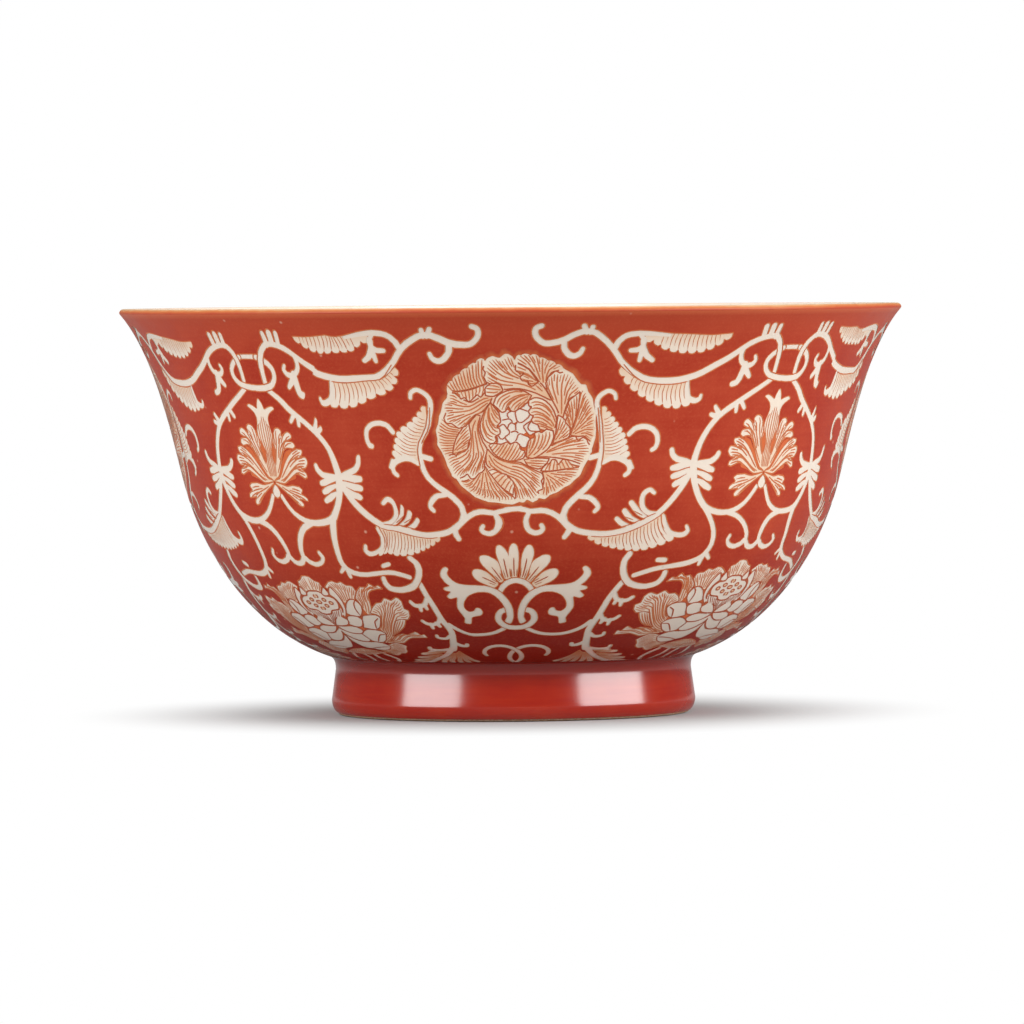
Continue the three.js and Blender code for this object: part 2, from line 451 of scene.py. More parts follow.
# %% [markdown]
# A potter's wheel in Geometry Nodes: a grid whose rows follow the profile and whose columns go round
# the axis. Each point of the grid looks up its place on the profile by its row, and its turn by its
# column. The seam and the poles are then merged, so every piece is one closed skin. Edges that turn
# sharply stay sharp, and the rest is smooth.

# %% The wheel
WHEEL_INPUTS = {"Profile": "Object", "Segments": "Int", "Sharp angle": "Float", "Material": "Material"}
WHEEL_MERGE = 0.001


def wheel_tree():
    nodes, given = new_tree("turn_on_wheel", WHEEL_INPUTS)
    line = nodes.add("GeometryNodeObjectInfo", {"Object": given["Profile"]}, out="Geometry")
    count = nodes.add("GeometryNodeAttributeDomainSize", {0: line}, component="MESH")
    columns = given["Segments"] + 1
    grid = nodes.add("GeometryNodeMeshGrid", {"Vertices X": columns, "Vertices Y": count})
    index = nodes.add("GeometryNodeInputIndex")
    row = index.math("MODULO", index, count)
    column = index.math("FLOOR", (index + 0.5) / count)
    place = nodes.add("GeometryNodeInputPosition")
    asked = {"Geometry": line, "Value": place, "Index": row}
    found = nodes.add("GeometryNodeSampleIndex", asked, data_type="FLOAT_VECTOR")
    radius, _, height = found.xyz()
    turn = column / given["Segments"] * (2 * pi)
    spot = round_the_axis(nodes, radius, turn, height)
    shaped = nodes.add("GeometryNodeSetPosition", {"Geometry": grid, "Position": spot})
    merging = {"Geometry": shaped, "Distance": WHEEL_MERGE * MM}
    merged = nodes.add("GeometryNodeMergeByDistance", merging)
    smooth = nodes.add("GeometryNodeSetShadeSmooth", {"Geometry": merged, "Shade Smooth": True})
    sharp = nodes.add("GeometryNodeInputMeshEdgeAngle") > given["Sharp angle"]
    creasing = {"Geometry": smooth, "Selection": sharp, "Shade Smooth": False}
    creased = nodes.add("GeometryNodeSetShadeSmooth", creasing, domain="EDGE")
    return end_tree(nodes, creased, given["Material"])


WHEEL = wheel_tree()

# %% [markdown]
# A tree works on a blank object through a modifier, whose inputs are set by their identifiers. The
# result is then taken off as a plain mesh, because the export wants finished meshes.

# %% Running a tree
def apply_tree(tree, start_mesh, name, settings):
    """Runs a tree on a mesh and returns a plain object with the result."""
    worked = bpy.data.objects.new(name + "_blank", start_mesh)
    bpy.context.scene.collection.objects.link(worked)
    modifier = worked.modifiers.new("nodes", "NODES")
    modifier.node_group = tree
    for item in tree.interface.items_tree:
        if item.in_out == "INPUT" and item.name in settings:
            modifier[item.identifier] = settings[item.name]
    bpy.context.view_layer.update()
    ready = worked.evaluated_get(bpy.context.evaluated_depsgraph_get())
    mesh = bpy.data.meshes.new_from_object(ready)
    mesh.name = name
    bpy.data.objects.remove(worked)
    piece = bpy.data.objects.new(name, mesh)
    bpy.context.scene.collection.objects.link(piece)
    print(name, "has", len(mesh.polygons), "faces")
    return piece


def wire_object(name, points):
    """A line of points as a mesh of edges, for a tree to read. Points are (radius, height)."""
    mesh = bpy.data.meshes.new(name)
    spots = [(r * MM, 0, z * MM) for r, z in points]
    mesh.from_pydata(spots, [(i, i + 1) for i in range(len(spots) - 1)], [])
    wire = bpy.data.objects.new(name, mesh)
    bpy.context.scene.collection.objects.link(wire)
    return wire

# %% [markdown]
# A profile is the outline of a piece's section, from the axis out and back, or a closed ring where
# the piece doesn't reach the axis. The wheel turns it in 288 steps, so the rim looks round.

# %% Turning a profile
WHEEL_SEGMENTS = 288
SHARP_ANGLE = 35


def turned(name, profile, material):
    """A profile, anticlockwise round its section, turned about the bowl's axis."""
    closed = profile if min(p[0] for p in profile) == 0 else [*profile, profile[0]]
    wire = wire_object(name + "_profile", closed)
    settings = {
        "Profile": wire,
        "Segments": WHEEL_SEGMENTS,
        "Sharp angle": radians(SHARP_ANGLE),
        "Material": material,
    }
    piece = apply_tree(WHEEL, bpy.data.meshes.new("blank"), name, settings)
    bpy.data.objects.remove(wire)
    return piece


print("the wheel turns in", WHEEL_SEGMENTS, "steps")

# %% [markdown]
# Every finish starts from the Principled shader. What is even over the piece is a plain value on the
# shader. What varies, such as a cloud in the colour, is worked out from the place on the object, so
# that it stays where it is on the bowl when the bowl is turned.

# %% Tools for finishes
def new_finish(name, **constants):
    """A material, its nodes and its shader, with plain values set on the shader."""
    material = bpy.data.materials.new(name)
    material.use_nodes = True
    shader = material.node_tree.nodes["Principled BSDF"]
    for title, value in constants.items():
        shader.inputs[title.replace("_", " ")].default_value = value
    print("finish", name)
    return material, Nodes(material.node_tree), shader


def object_place(nodes):
    return nodes.add("ShaderNodeTexCoord", out="Object")


def noise(nodes, place, scale, detail=3.0, roughness=0.5):
    """Noise between 0 and 1. The scale counts patches in a metre."""
    inputs = {"Vector": place, "Scale": float(scale), "Detail": detail, "Roughness": roughness}
    return nodes.add("ShaderNodeTexNoise", inputs)


def round_streaks(nodes, place, along, across, detail):
    """Noise in streaks round the bowl. The two scales count streaks in a metre round and up it."""
    inputs = {0: place, 1: (along, along, across)}
    return noise(nodes, nodes.add("ShaderNodeVectorMath", inputs, operation="MULTIPLY"), 1, detail)


def specks(nodes, place, scale, sharpness):
    """Small round spots, 1 at their middle and 0 outside."""
    distance = nodes.add("ShaderNodeTexVoronoi", {"Vector": place, "Scale": float(scale)})
    return (distance * -sharpness + 1).clamped()


def mixed(nodes, share, low, high):
    """A colour between two, which may be wires or plain colours."""
    low = low if isinstance(low, Wire) else (*low, 1)
    high = high if isinstance(high, Wire) else (*high, 1)
    return nodes.add("ShaderNodeMix", {0: share, 6: low, 7: high}, out=2, data_type="RGBA")


def bump(nodes, height, strength, depth):
    inputs = {"Strength": strength, "Distance": depth * MM, "Height": height}
    return nodes.add("ShaderNodeBump", inputs)


def height_share(place, low, high):
    """0 below one height on the bowl and 1 above another. Either may be the larger."""
    _, _, z = place.xyz()
    return ((z / MM - low) / (high - low)).clamped()

# %% [markdown]
# The tread is the only bare porcelain. Without glaze the paste is matt and rough, and the kiln burns
# it brown in patches, so two noises set its colour: a slow one for the burn and a fine one for grit.

# %% Bare paste
def bare_paste():
    burnt, baked, gritty = (0.16, 0.06, 0.025), (0.36, 0.19, 0.10), (0.5, 0.38, 0.28)
    material, nodes, shader = new_finish("bare_paste", Roughness=0.85)
    place = object_place(nodes)
    burn = noise(nodes, place, 140, 4.0)
    grit = noise(nodes, place, 2600, 2.0)
    colour = mixed(nodes, burn, burnt, baked)
    colour = mixed(nodes, (grit - 0.5) * 1.4 + 0.2, colour, gritty)
    nodes.feed(shader.inputs["Base Color"], colour)
    nodes.feed(shader.inputs["Normal"], bump(nodes, grit, 0.5, 0.08))
    return material


paste = bare_paste()

# %% [markdown]
# Porcelain glaze is clear and glossy over a warm white paste. A light coat on the shader gives the
# gloss, and a weak bump gives the skin of an orange that a thick glaze has. A few brown specks are
# iron that burnt through.

# %% Clear glaze
def clear_glaze():
    cream, warm_white, iron = (0.735, 0.64, 0.545), (0.705, 0.60, 0.50), (0.45, 0.33, 0.22)
    material, nodes, shader = new_finish("clear_glaze", Coat_Weight=0.4, Coat_Roughness=0.06)
    place = object_place(nodes)
    warmth = noise(nodes, place, 45)
    peel = noise(nodes, place, 420, 2.0)
    colour = mixed(nodes, warmth, cream, warm_white)
    colour = mixed(nodes, specks(nodes, place, 180, 14) * 0.5, colour, iron)
    nodes.feed(shader.inputs["Base Color"], colour)
    nodes.feed(shader.inputs["Roughness"], peel * 0.08 + 0.12)
    nodes.feed(shader.inputs["Normal"], bump(nodes, peel, 0.12, 0.05))
    return material


white_glaze = clear_glaze()

# %% [markdown]
# Coral is iron oxide ground fine in a little flux and fired over the glaze. It is nearly matt, and
# lets white through where the brush left it thin. Clouds, patches and streaks round the wall are
# added up to say how thin it is. Low on the wall shade is painted into the red, darker towards the
# foot, where the lamps hardly reach. It is paler towards the lip, and palest at its very edge, where
# the painter wiped it. A few pinholes show the glaze.

# %% Coral on the wall
# heights of the painted shade low on the wall, of the paler band and of the wiped edge
LOW_SHADE_STARTS, LOW_SHADE_ENDS = 36, 10
HIGH_STARTS, HIGH_ENDS = 68, 77
WIPED_STARTS, WIPED_ENDS = 76.3, 77.3


def coral_enamel():
    full, thinner, painted_shade_red = (0.315, 0.021, 0.008), (0.43, 0.056, 0.022), (0.235, 0.004, 0.001)
    high_red, wiped_red = (0.47, 0.07, 0.028), (0.56, 0.115, 0.045)
    grainy, pinhole = (0.5, 0.11, 0.05), (0.62, 0.34, 0.24)
    material, nodes, shader = new_finish("coral_ground", Specular_IOR_Level=0.15)
    place = object_place(nodes)
    cloud = noise(nodes, place, 38, 4.0, 0.6)
    patch = noise(nodes, place, 150, 3.0, 0.6)
    streak = round_streaks(nodes, place, 60, 1500, 2.0)
    fine = noise(nodes, place, 2300, 2.0)
    thin = (cloud - 0.5) + (patch - 0.5) * 0.8 + (streak - 0.5) * 0.5 + 0.4
    colour = mixed(nodes, thin.clamped(), full, thinner)
    # painted shade: the red is made darker towards the foot, where the lamps hardly reach
    colour = mixed(nodes, height_share(place, LOW_SHADE_STARTS, LOW_SHADE_ENDS) * 0.9, colour, painted_shade_red)
    colour = mixed(nodes, height_share(place, HIGH_STARTS, HIGH_ENDS) * 0.6, colour, high_red)
    wiped = height_share(place, WIPED_STARTS, WIPED_ENDS) + (fine - 0.5) * 0.3
    colour = mixed(nodes, wiped.clamped(), colour, wiped_red)
    colour = mixed(nodes, ((fine - 0.5) * 1.6).clamped() * 0.3, colour, grainy)
    colour = mixed(nodes, specks(nodes, place, 150, 16), colour, pinhole)
    nodes.feed(shader.inputs["Base Color"], colour)
    nodes.feed(shader.inputs["Roughness"], (patch - 0.5) * 0.25 + 0.38)
    nodes.feed(shader.inputs["Normal"], bump(nodes, fine, 0.12, 0.03))
    return material


coral = coral_enamel()

# %% [markdown]
# On the foot the same red looks glassier, and mirrors the soft boxes as two bright patches. A full
# coat of a dense, slightly rough glass over the red gives that, with ripples that run round the foot
# in its bump. Under the wall, where the lamps hardly reach, shade is painted into the red, which
# turns nearly brown.

# %% Coral on the foot
SHADE_STARTS, SHADE_ENDS = 6, 10


def foot_enamel():
    deep, bright, shaded = (0.28, 0.004, 0.0), (0.39, 0.021, 0.0), (0.13, 0.004, 0.001)
    shine = {"Coat_Weight": 1.0, "Coat_IOR": 1.78, "Coat_Roughness": 0.16}
    material, nodes, shader = new_finish("coral_on_foot", Specular_IOR_Level=0.0, **shine)
    place = object_place(nodes)
    patch = noise(nodes, place, 130, 3.0, 0.6)
    ripple = round_streaks(nodes, place, 90, 1100, 3.0)
    thin = (patch - 0.5) * 0.9 + (ripple - 0.5) * 0.9 + 0.45
    colour = mixed(nodes, thin.clamped(), deep, bright)
    # painted shade: the red is made nearly brown under the wall, where the lamps hardly reach
    colour = mixed(nodes, height_share(place, SHADE_STARTS, SHADE_ENDS) * 0.75, colour, shaded)
    nodes.feed(shader.inputs["Base Color"], colour)
    nodes.feed(shader.inputs["Normal"], bump(nodes, ripple + patch * 0.6, 0.4, 0.1))
    return material


foot_coral = foot_enamel()

# %% [markdown]
# Where the coral wash ran out beside the white it is thin, and shows as a fine orange edge. The mesh
# carries a number for it, the shade: 0 beside the white and 1 where the full coral begins.

# %% Edge of the coral wash
def wash_edge():
    thin_orange, coral_red = (0.60, 0.19, 0.06), (0.345, 0.034, 0.013)
    material, nodes, shader = new_finish("wash_edge", Roughness=0.4, Specular_IOR_Level=0.25)
    shade = nodes.add("ShaderNodeAttribute", out="Fac", attribute_name="shade")
    pool = noise(nodes, object_place(nodes), 700)
    share = (shade + (pool - 0.5) * 0.7).clamped()
    nodes.feed(shader.inputs["Base Color"], mixed(nodes, share, thin_orange, coral_red))
    return material


edge_line = wash_edge()

# %% [markdown]
# Petals and leaves carry a thin ochre wash over the white, strong at the root and nearly gone at the
# tip. It reads the same shade from the mesh, and a noise makes it pool unevenly.

# %% Washes on petals and leaves
def petal_wash(name, root, tip):
    material, nodes, shader = new_finish(name, Coat_Weight=0.3, Coat_Roughness=0.1, Roughness=0.25)
    shade = nodes.add("ShaderNodeAttribute", out="Fac", attribute_name="shade")
    pool = noise(nodes, object_place(nodes), 380)
    share = (shade + (pool - 0.5) * 0.35 + 0.05).clamped()
    nodes.feed(shader.inputs["Base Color"], mixed(nodes, share, root, tip))
    return material


leaf_tint = petal_wash("leaf_wash", (0.71, 0.50, 0.34), (0.74, 0.63, 0.52))
petal_tint = petal_wash("petal_wash", (0.68, 0.38, 0.21), (0.74, 0.61, 0.475))

# %% [markdown]
# The finest lines are drawn with the same iron red, thin as ochre or full as red, and a deep flat
# wash fills the hollows between petals. All three differ in colour alone.

# %% Brush lines
def brush_line(name, thin, full):
    """A line from a fine brush, dark where the colour pooled."""
    material, nodes, shader = new_finish(name, Roughness=0.35, Specular_IOR_Level=0.36)
    pool = noise(nodes, object_place(nodes), 800, 2.0)
    nodes.feed(shader.inputs["Base Color"], mixed(nodes, pool, full, thin))
    return material


deep_wash = brush_line("deep_wash", (0.60, 0.14, 0.04), (0.50, 0.085, 0.02))
ochre_line = brush_line("ochre_line", (0.57, 0.19, 0.07), (0.43, 0.09, 0.028))
red_line = brush_line("red_line", (0.46, 0.11, 0.038), (0.33, 0.05, 0.017))

# %% [markdown]
# The lip was wiped and edged in ochre. It is orange outside, fades to cream on its top, unevenly,
# and to white within. The height picks the first two colours, and the radius the last.

# %% The lip's finish
LIP_MIDDLE_RADIUS = LIP_RADIUS - WALL_AT_LIP / 2 * sin(radians(LIP_ANGLE))
TOP_STARTS, TOP_ENDS = LIP_HEIGHT + 0.2, LIP_HEIGHT + 1.1


def lip_glaze():
    outer, ochre = (0.42, 0.06, 0.025), (0.52, 0.16, 0.05)
    cream, white = (0.58, 0.42, 0.23), (0.76, 0.67, 0.57)
    material, nodes, shader = new_finish("lip_glaze", Roughness=0.4, Specular_IOR_Level=0.2)
    place = object_place(nodes)
    x, y, _ = place.xyz()
    radius = x.math("SQRT", x * x + y * y)
    inward = ((LIP_MIDDLE_RADIUS * MM - radius) / MM * 1.2).clamped()
    worn = noise(nodes, place, 420) - 0.5
    wiped = noise(nodes, place, 30, 2.0) - 0.5
    up = height_share(place, TOP_STARTS, TOP_ENDS) + worn * 0.3 + wiped * 0.7
    colour = mixed(nodes, (up * 2).clamped(), outer, ochre)
    colour = mixed(nodes, (up * 2 - 1).clamped(), colour, cream)
    nodes.feed(shader.inputs["Base Color"], mixed(nodes, inward, colour, white))
    return material


lip_finish = lip_glaze()

# %% [markdown]
# The painter's sheet. The wall is flared and round, so the drawing is made on a flat sheet that
# keeps every angle: x runs round the bowl and y up the wall, both in millimetres at the waist.
# One sheet holds a peony with half of what stands between it and the next peony on either side,
# and four sheets go round the bowl. Most marks are drawn for the right half and mirrored, as the
# painter's pounced outline was.

# %% The sheet's measures
HALF_SHEET = 52.3
HALO = 0.2
VEIN = 0.16
HATCH = 0.26
OUTLINE = 0.26
HATCH_PITCH = 0.62
FINE_LINE = 0.2
RIB_LINE = 0.22
BEND = 0.22
TIP_BEND = 0.4
POINT_GAP = 1.5
print("one sheet is", 2 * HALF_SHEET, "mm wide, and its white marks have an edge of", HALO, "mm")

# %% [markdown]
# Marks are kept in layers, in the order of painting, and a later mark covers an earlier one, as
# where one stem passes over another. The flowers have layers of their own above the scroll.

# %% Layers
GLOW_LAYER, HALO_LAYER, LEAF_LAYER, STEM_LAYER, OVER_LAYER = -1, 0, 1, 2, 3
SMALL_FLOWER_LAYER = 9
PEONY_LAYER = 19
LOTUS_LAYER = 50
print("layers from", GLOW_LAYER, "for the glow round the peony to", LOTUS_LAYER, "and up for the lotus")

# %% [markdown]
# A place on the sheet is a complex number, because a turn is then one multiplication. A curve passes
# through the given places. Points are dropped where it hardly turns, so that the
# mesh stays light.

# %% Curves through given places
FINEST_STEP = 0.12


def pts(text):
    """Places on the sheet, written as x,y pairs, as complex numbers."""
    return np.array([complex(*map(float, pair.split(","))) for pair in text.split()])


def thinned(line, bend, gap):
    """Drops points where a line hardly turns."""
    kept = [0]
    way = np.angle(np.diff(line))
    for i in range(1, len(line) - 1):
        turn = abs((way[i] - way[kept[-1]] + pi) % (2 * pi) - pi)
        if turn > bend or abs(line[i + 1] - line[kept[-1]]) > gap:
            kept.append(i)
    return line[[*kept, len(line) - 1]]


def smooth(points, gap=POINT_GAP, closed=False, bend=BEND):
    """A curve through given places. Its points lie closer where it turns."""
    points = np.asarray(points, complex)
    if len(points) < 3:
        count = max(2, int(abs(points[-1] - points[0]) / gap) + 2)
        return np.linspace(points[0], points[-1], count)
    if closed:
        ring = np.concatenate([points[-1:], points, points[:2]])
    else:
        first, last = 2 * points[0] - points[1], 2 * points[-1] - points[-2]
        ring = np.concatenate([[first], points, [last]])
    out = []
    for a, b, c, d in zip(ring, ring[1:], ring[2:], ring[3:]):
        t = np.linspace(0, 1, max(2, int(round(abs(c - b) / FINEST_STEP)) + 1))[:-1]
        square, cube = 2 * a - 5 * b + 4 * c - d, 3 * b - a - 3 * c + d
        out.append(0.5 * (2 * b + (c - a) * t + square * t**2 + cube * t**3))
    line = thinned(np.concatenate([*out, points[:1] if closed else points[-1:]]), bend, gap)
    return line[:-1] if closed else line


def run_along(line):
    """How far each point lies along its line."""
    return np.concatenate([[0], np.cumsum(np.abs(np.diff(line)))])


def even(line, count):
    """The same line with a given number of evenly spaced points."""
    run = run_along(line)
    return np.interp(np.linspace(0, run[-1], count), run, line)


def sideways(line):
    """Unit vectors to the left of a line."""
    ahead = np.concatenate([line[1:], line[-1:]]) - np.concatenate([line[:1], line[:-1]])
    return 1j * ahead / np.maximum(np.abs(ahead), 1e-9)


print("a curve through", len(pts("0,0 4,3 8,0")), "places gets", len(smooth(pts("0,0 4,3 8,0"))), "points")

# %% [markdown]
# A brush stroke swells and thins, and ends round. It is the outline of its line at half its width
# on either side, with a few points round each end. Where a stroke has to join another one, its halo
# is left open at the ends.

# %% Brush strokes
SMALL_TIP = 0.45
HALO_PULLED_IN = 0.5


def round_end(tip, way, radius):
    turn = np.linspace(-pi / 2, pi / 2, 5 if radius < SMALL_TIP else 7)[1:-1]
    return tip + way * radius * np.exp(1j * turn)


def stroke(points, widths, grow=0.0, gap=POINT_GAP, open_ends=False):
    """The outline of a brush stroke with round ends. Widths are spread along it."""
    line = smooth(points, gap)
    run = run_along(line)
    half = np.interp(run / run[-1], np.linspace(0, 1, len(widths)), widths) / 2 + grow
    left = sideways(line)
    if open_ends and grow:
        ends = line[[0, -1]] + np.array([1, -1]) * HALO_PULLED_IN * (-1j * left[[0, -1]])
        line = np.concatenate([ends[:1], line[1:-1], ends[1:]])
        return np.concatenate([line - left * half, (line + left * half)[::-1]])
    far_end = round_end(line[-1], -1j * left[-1], half[-1])
    near_end = round_end(line[0], 1j * left[0], half[0])
    return np.concatenate([line - left * half, far_end, (line + left * half)[::-1], near_end])


print("a short stroke has an outline of", len(stroke(pts("0,0 4,3 8,0"), [1, 2, 1])), "points")

# %% [markdown]
# Leaves and petals are closed loops. A loop can be moved outward for its halo, or mirrored from one
# half, a line can be given round lobes, and a test tells which places lie inside a loop.

# %% Closed loops
LOBE_STEPS = 5


def grown(loop, by):
    """A closed loop moved outward."""
    area = np.sum((loop * np.roll(loop, -1).conj()).imag)
    ahead = np.roll(loop, -1) - loop
    ahead = ahead / np.maximum(np.abs(ahead), 1e-9)
    mean = ahead + np.roll(ahead, 1)
    mean = np.where(np.abs(mean) < 0.3, ahead, mean)
    return loop + 1j * mean / np.abs(mean) * by * (1 if area > 0 else -1)


def mirrored_loop(half):
    """A closed loop from its left half, mirrored on the sheet's right edge."""
    return np.concatenate([half, (2 * HALF_SHEET - half.conj())[::-1]])


def circle(middle, radius, steps):
    return middle + radius * np.exp(2j * pi * np.arange(steps) / steps)


def lobed(points, lobes, height):
    """A line with round lobes standing out on its left."""
    line = even(smooth(points), lobes * LOBE_STEPS + 1)
    place = np.linspace(0, lobes, len(line)) % 1
    bulge = np.sqrt(np.clip(1 - (2 * place - 1) ** 2, 0, 1))
    return line + sideways(line) * height * bulge


def inside(loop, places):
    """Which places lie inside a closed loop. The loop may cross itself."""
    result = np.zeros(len(places), bool)
    near = (
        (places.real > loop.real.min()) & (places.real < loop.real.max())
        & (places.imag > loop.imag.min()) & (places.imag < loop.imag.max())
    )
    if not near.any():
        return result
    place = places[near][:, None]
    a, b = loop[None, :], np.roll(loop, -1)[None, :]
    above = (b - a).real * (place - a).imag - (place - a).real * (b - a).imag
    up = (a.imag <= place.imag) & (b.imag > place.imag) & (above > 0)
    down = (a.imag > place.imag) & (b.imag <= place.imag) & (above < 0)
    result[near] = up.sum(1) != down.sum(1)
    return result


print("a place inside a circle is found inside it:", inside(circle(0, 1, 12), np.array([0.1 + 0.1j]))[0])

# %% [markdown]
# The left half isn't an exact mirror image of the right one, because the painter went over the
# pounced outline freehand. A few places where the two differ are set here, each with how far the
# brush strayed, and the strokes between them stray by the mean of the places near them.

# %% Drift of the freehand left half
STRAYED = """
-4.1,86.7>-3.0,0 -6,83>-2.8,0 -12,86.4>-3.2,-.2 -11.4,82.5>-4.2,-1 -10,80.9>-3.7,-.8 -17,82.7>-3.5,.4
-20.5,85.3>-4.8,.9 -21.5,82.5>-3.8,0 -18.2,78.7>-4.2,.2 -26.7,76.4>-3.3,1.2 -29,71>-3.1,1
-34.2,73.3>-3.7,1.4 -37.7,84.5>-2.9,1.1 -41,81.3>1,.2 -46.1,85.6>1.2,.2 -42.4,78.5>-.3,-.5
-46.7,79>.5,.2 -49.3,76.1>.5,-.7 -43.4,71>-.9,-1 -37.5,70.3>-.8,-1.8 -34.3,60.8>-1.3,-1.2
-30.9,56.6>-.9,-1.8 -38.9,56.1>-.5,-.7 -44.1,51.2>-.2,-.2 -40.8,46.7>1.3,0 -45.2,46>.2,-.5
-26.9,55.4>.2,-1.5 -34.2,46.5>1.9,-2.4 -24.8,43.2>0,-1 -20.1,47.4>0,0 -15.1,46.3>-1.5,0 -9.5,46.5>-3,-.4
-9.5,51.4>-.9,.4 -3.9,47.6>-2.1,0 -5,52.4>-1.7,0 -2.7,52>-1.4,-.6 -15.6,52.4>-1.4,.3 -13,55>-1.4,1
-15.9,62>-2.8,0 -13.7,57.5>-2.9,0 -16.3,74.5>-1.6,.9 -17.7,73.3>-1.8,.2 -14.4,70.9>-.9,0
-20.6,62.7>-3,.2 -20.6,58.7>-3,.4 -23.8,68.2>-2.9,1 -25.5,63.4>-2.8,2.3 -41.5,63.5>0,-.1
-45.3,68.5>-.9,-.6 -29.8,62.8>-1.5,-1 -31.5,61.3>-1.4,-1.1 -30.4,58.4>-1.2,-1.3 -39.6,62.2>-1.3,-1
-37,60.9>-1.3,-1.1 -38.8,57.8>-.9,-1 -3.6,44>0,0 -7,41.5>-.6,0 -9,38.2>-.7,0 -15.2,37>-1.1,0
-13,34>-1.1,0 -12.2,26>-1,0 -5,33.5>-.5,0 -3,25>-.3,0 -23,39>1.4,.3 -28,35>1.5,0 -31.5,37>1.4,.3
-30,40>1.5,.3 -40,41.2>.4,.5 -24,31>.8,-1.2 -22,25>.9,-1.1 -19.3,20>1.3,-.5 -19.5,12>1.3,0
"""
STRAY_REACH = 2.6
STRAY_FLOOR = 0.002
STEADY_MIDDLE = 2
STEADY_EDGE = 4
strayed = np.array([pts(pair.replace(">", " ")) for pair in STRAYED.split()])


def freehand(line):
    """A line as the painter set it down: the same on the right, a little off on the left."""
    near = np.exp(-np.abs(line[:, None] - strayed[None, :, 0]) ** 2 / (2 * STRAY_REACH**2))
    move = (near * strayed[None, :, 1]).sum(1) / (near.sum(1) + STRAY_FLOOR)
    from_middle = np.clip(-line.real / STEADY_MIDDLE, 0, 1)
    from_edge = np.clip((line.real + HALF_SHEET) / STEADY_EDGE, 0, 1)
    return line + move * from_middle * from_edge


print("the brush strays at", len(strayed), "places, at most by", abs(strayed[:, 1]).max().round(1), "mm")

# %% [markdown]
# The sheet keeps the marks. A mark is an area of one kind or a thin line, and most are painted more
# than once: mirrored on the middle of the sheet, and again on its edges, where half of a motif comes
# from the next sheet. Whatever would fall off the sheet is dropped.

# %% The sheet
MIRRORED = {
    "once": [(1, 0)],
    "axis": [(1, 0), (-1, 0)],
    "both": [(1, 0), (-1, 0), (-1, 2 * HALF_SHEET), (1, -2 * HALF_SHEET)],
}


class Sheet:
    """Everything painted on one sheet. Each mark has a layer, a kind and its points."""

    def __init__(self):
        self.marks = []

    def mark(self, layer, kind, points, copies="both", root=None, **more):
        """Keeps a mark and its mirror images that fall on the sheet. The root is where its wash is
        strongest."""
        for side, shift in MIRRORED[copies]:
            moved = shift + (points if side > 0 else -np.conj(points))
            if moved.real.min() > HALF_SHEET or moved.real.max() < -HALF_SHEET:
                continue
            start = root
            if root is not None:
                start = np.atleast_1d(shift + (np.asarray(root) if side > 0 else -np.conj(root)))
            if copies != "once":
                moved = freehand(moved)
                start = None if root is None else freehand(start)
            self.marks.append({**more, "layer": layer, "kind": kind, "points": moved, "root": start})

    def reserve(self, loop, layer, kind="white", copies="both", halo_layer=HALO_LAYER, **more):
        """An area left white or washed, with a halo round it."""
        self.mark(halo_layer, "halo", grown(loop, HALO), copies)
        self.mark(layer, kind, loop, copies, **more)

    def stem(self, points, widths, layer=STEM_LAYER, copies="both", open_ends=False):
        """A stem left white. One that passes over others brings its own halo."""
        points = pts(points) if isinstance(points, str) else points
        passes_over = layer > STEM_LAYER
        halo = stroke(points, widths, HALO, open_ends=open_ends)
        self.mark(layer if passes_over else HALO_LAYER, "halo", halo, copies)
        self.mark(layer + passes_over * 0.5, "white", stroke(points, widths), copies)

    def line(self, points, width=HATCH, layer=LEAF_LAYER, copies="both", tone="ochre", within=None):
        """A thin brush line on the white. It may be kept within a loop."""
        self.mark(layer, tone, points, copies, width=width, within=within)

    def edged(self, loop, width, layer, copies="both", tone="red", within=None):
        """A line round a closed loop."""
        self.line(np.concatenate([loop, loop[:1]]), width, layer, copies, tone, within)


def paint(motif):
    """Paints one motif on the sheet and says how many marks it took."""
    before = len(sheet.marks)
    motif(sheet)
    print(motif.__name__.replace("_", " ") + ":", len(sheet.marks) - before, "marks")


sheet = Sheet()
print("a mark can be painted", ", ".join(f"{len(sides)} times ({name})" for name, sides in MIRRORED.items()))

# %% [markdown]
# A feathered leaf hangs on one side of its spine, and its edge has round lobes. A vein runs from the
# spine into each notch between two lobes, with a shorter and thinner one between, and all of them
# bow a little the same way.

# %% Feathered leaves
WASH_REACH_ON_LEAF = 2.6
LONG_VEIN = 0.97
SHORT_VEIN = 0.8
VEIN_STEP = 0.9


def leaf(sheet, spine, edge, lobes, height, bow=-0.1, end=""):
    spine, edge = smooth(pts(spine)), pts(edge)
    rim = lobed(edge[::-1], lobes, height)[::-1]
    loop = np.concatenate([spine[::-1], rim, pts(end)])
    sheet.reserve(loop, LEAF_LAYER, "leaf", root=even(spine, 12), reach=WASH_REACH_ON_LEAF)
    foot, notch = even(spine, 2 * lobes + 1)[1:-1], even(smooth(edge), 2 * lobes + 1)[1:-1]
    for number, (start, stop) in enumerate(zip(foot, notch)):
        into_notch = number % 2 == 1
        steps = max(3, int(abs(stop - start) / VEIN_STEP) + 2)
        span = np.linspace(0, LONG_VEIN if into_notch else SHORT_VEIN, steps)
        path = start + (stop - start) * (span + 1j * bow * np.sin(pi * span))
        sheet.line(path, VEIN if into_notch else VEIN * 0.8)


print("a leaf with 9 lobes gets 17 veins")

# %% [markdown]
# A petal is shaded with lines from its root to its edge. They fan out with the petal. Where they
# would crowd near the root, every other one starts further out, as a painter lifts the brush.

# %% Hatched petals
HATCH_END = 0.95
HATCH_STEPS = 13
SIDE_POINTS = 41
CROWDED = 0.62
PETAL_LOBE = 0.35


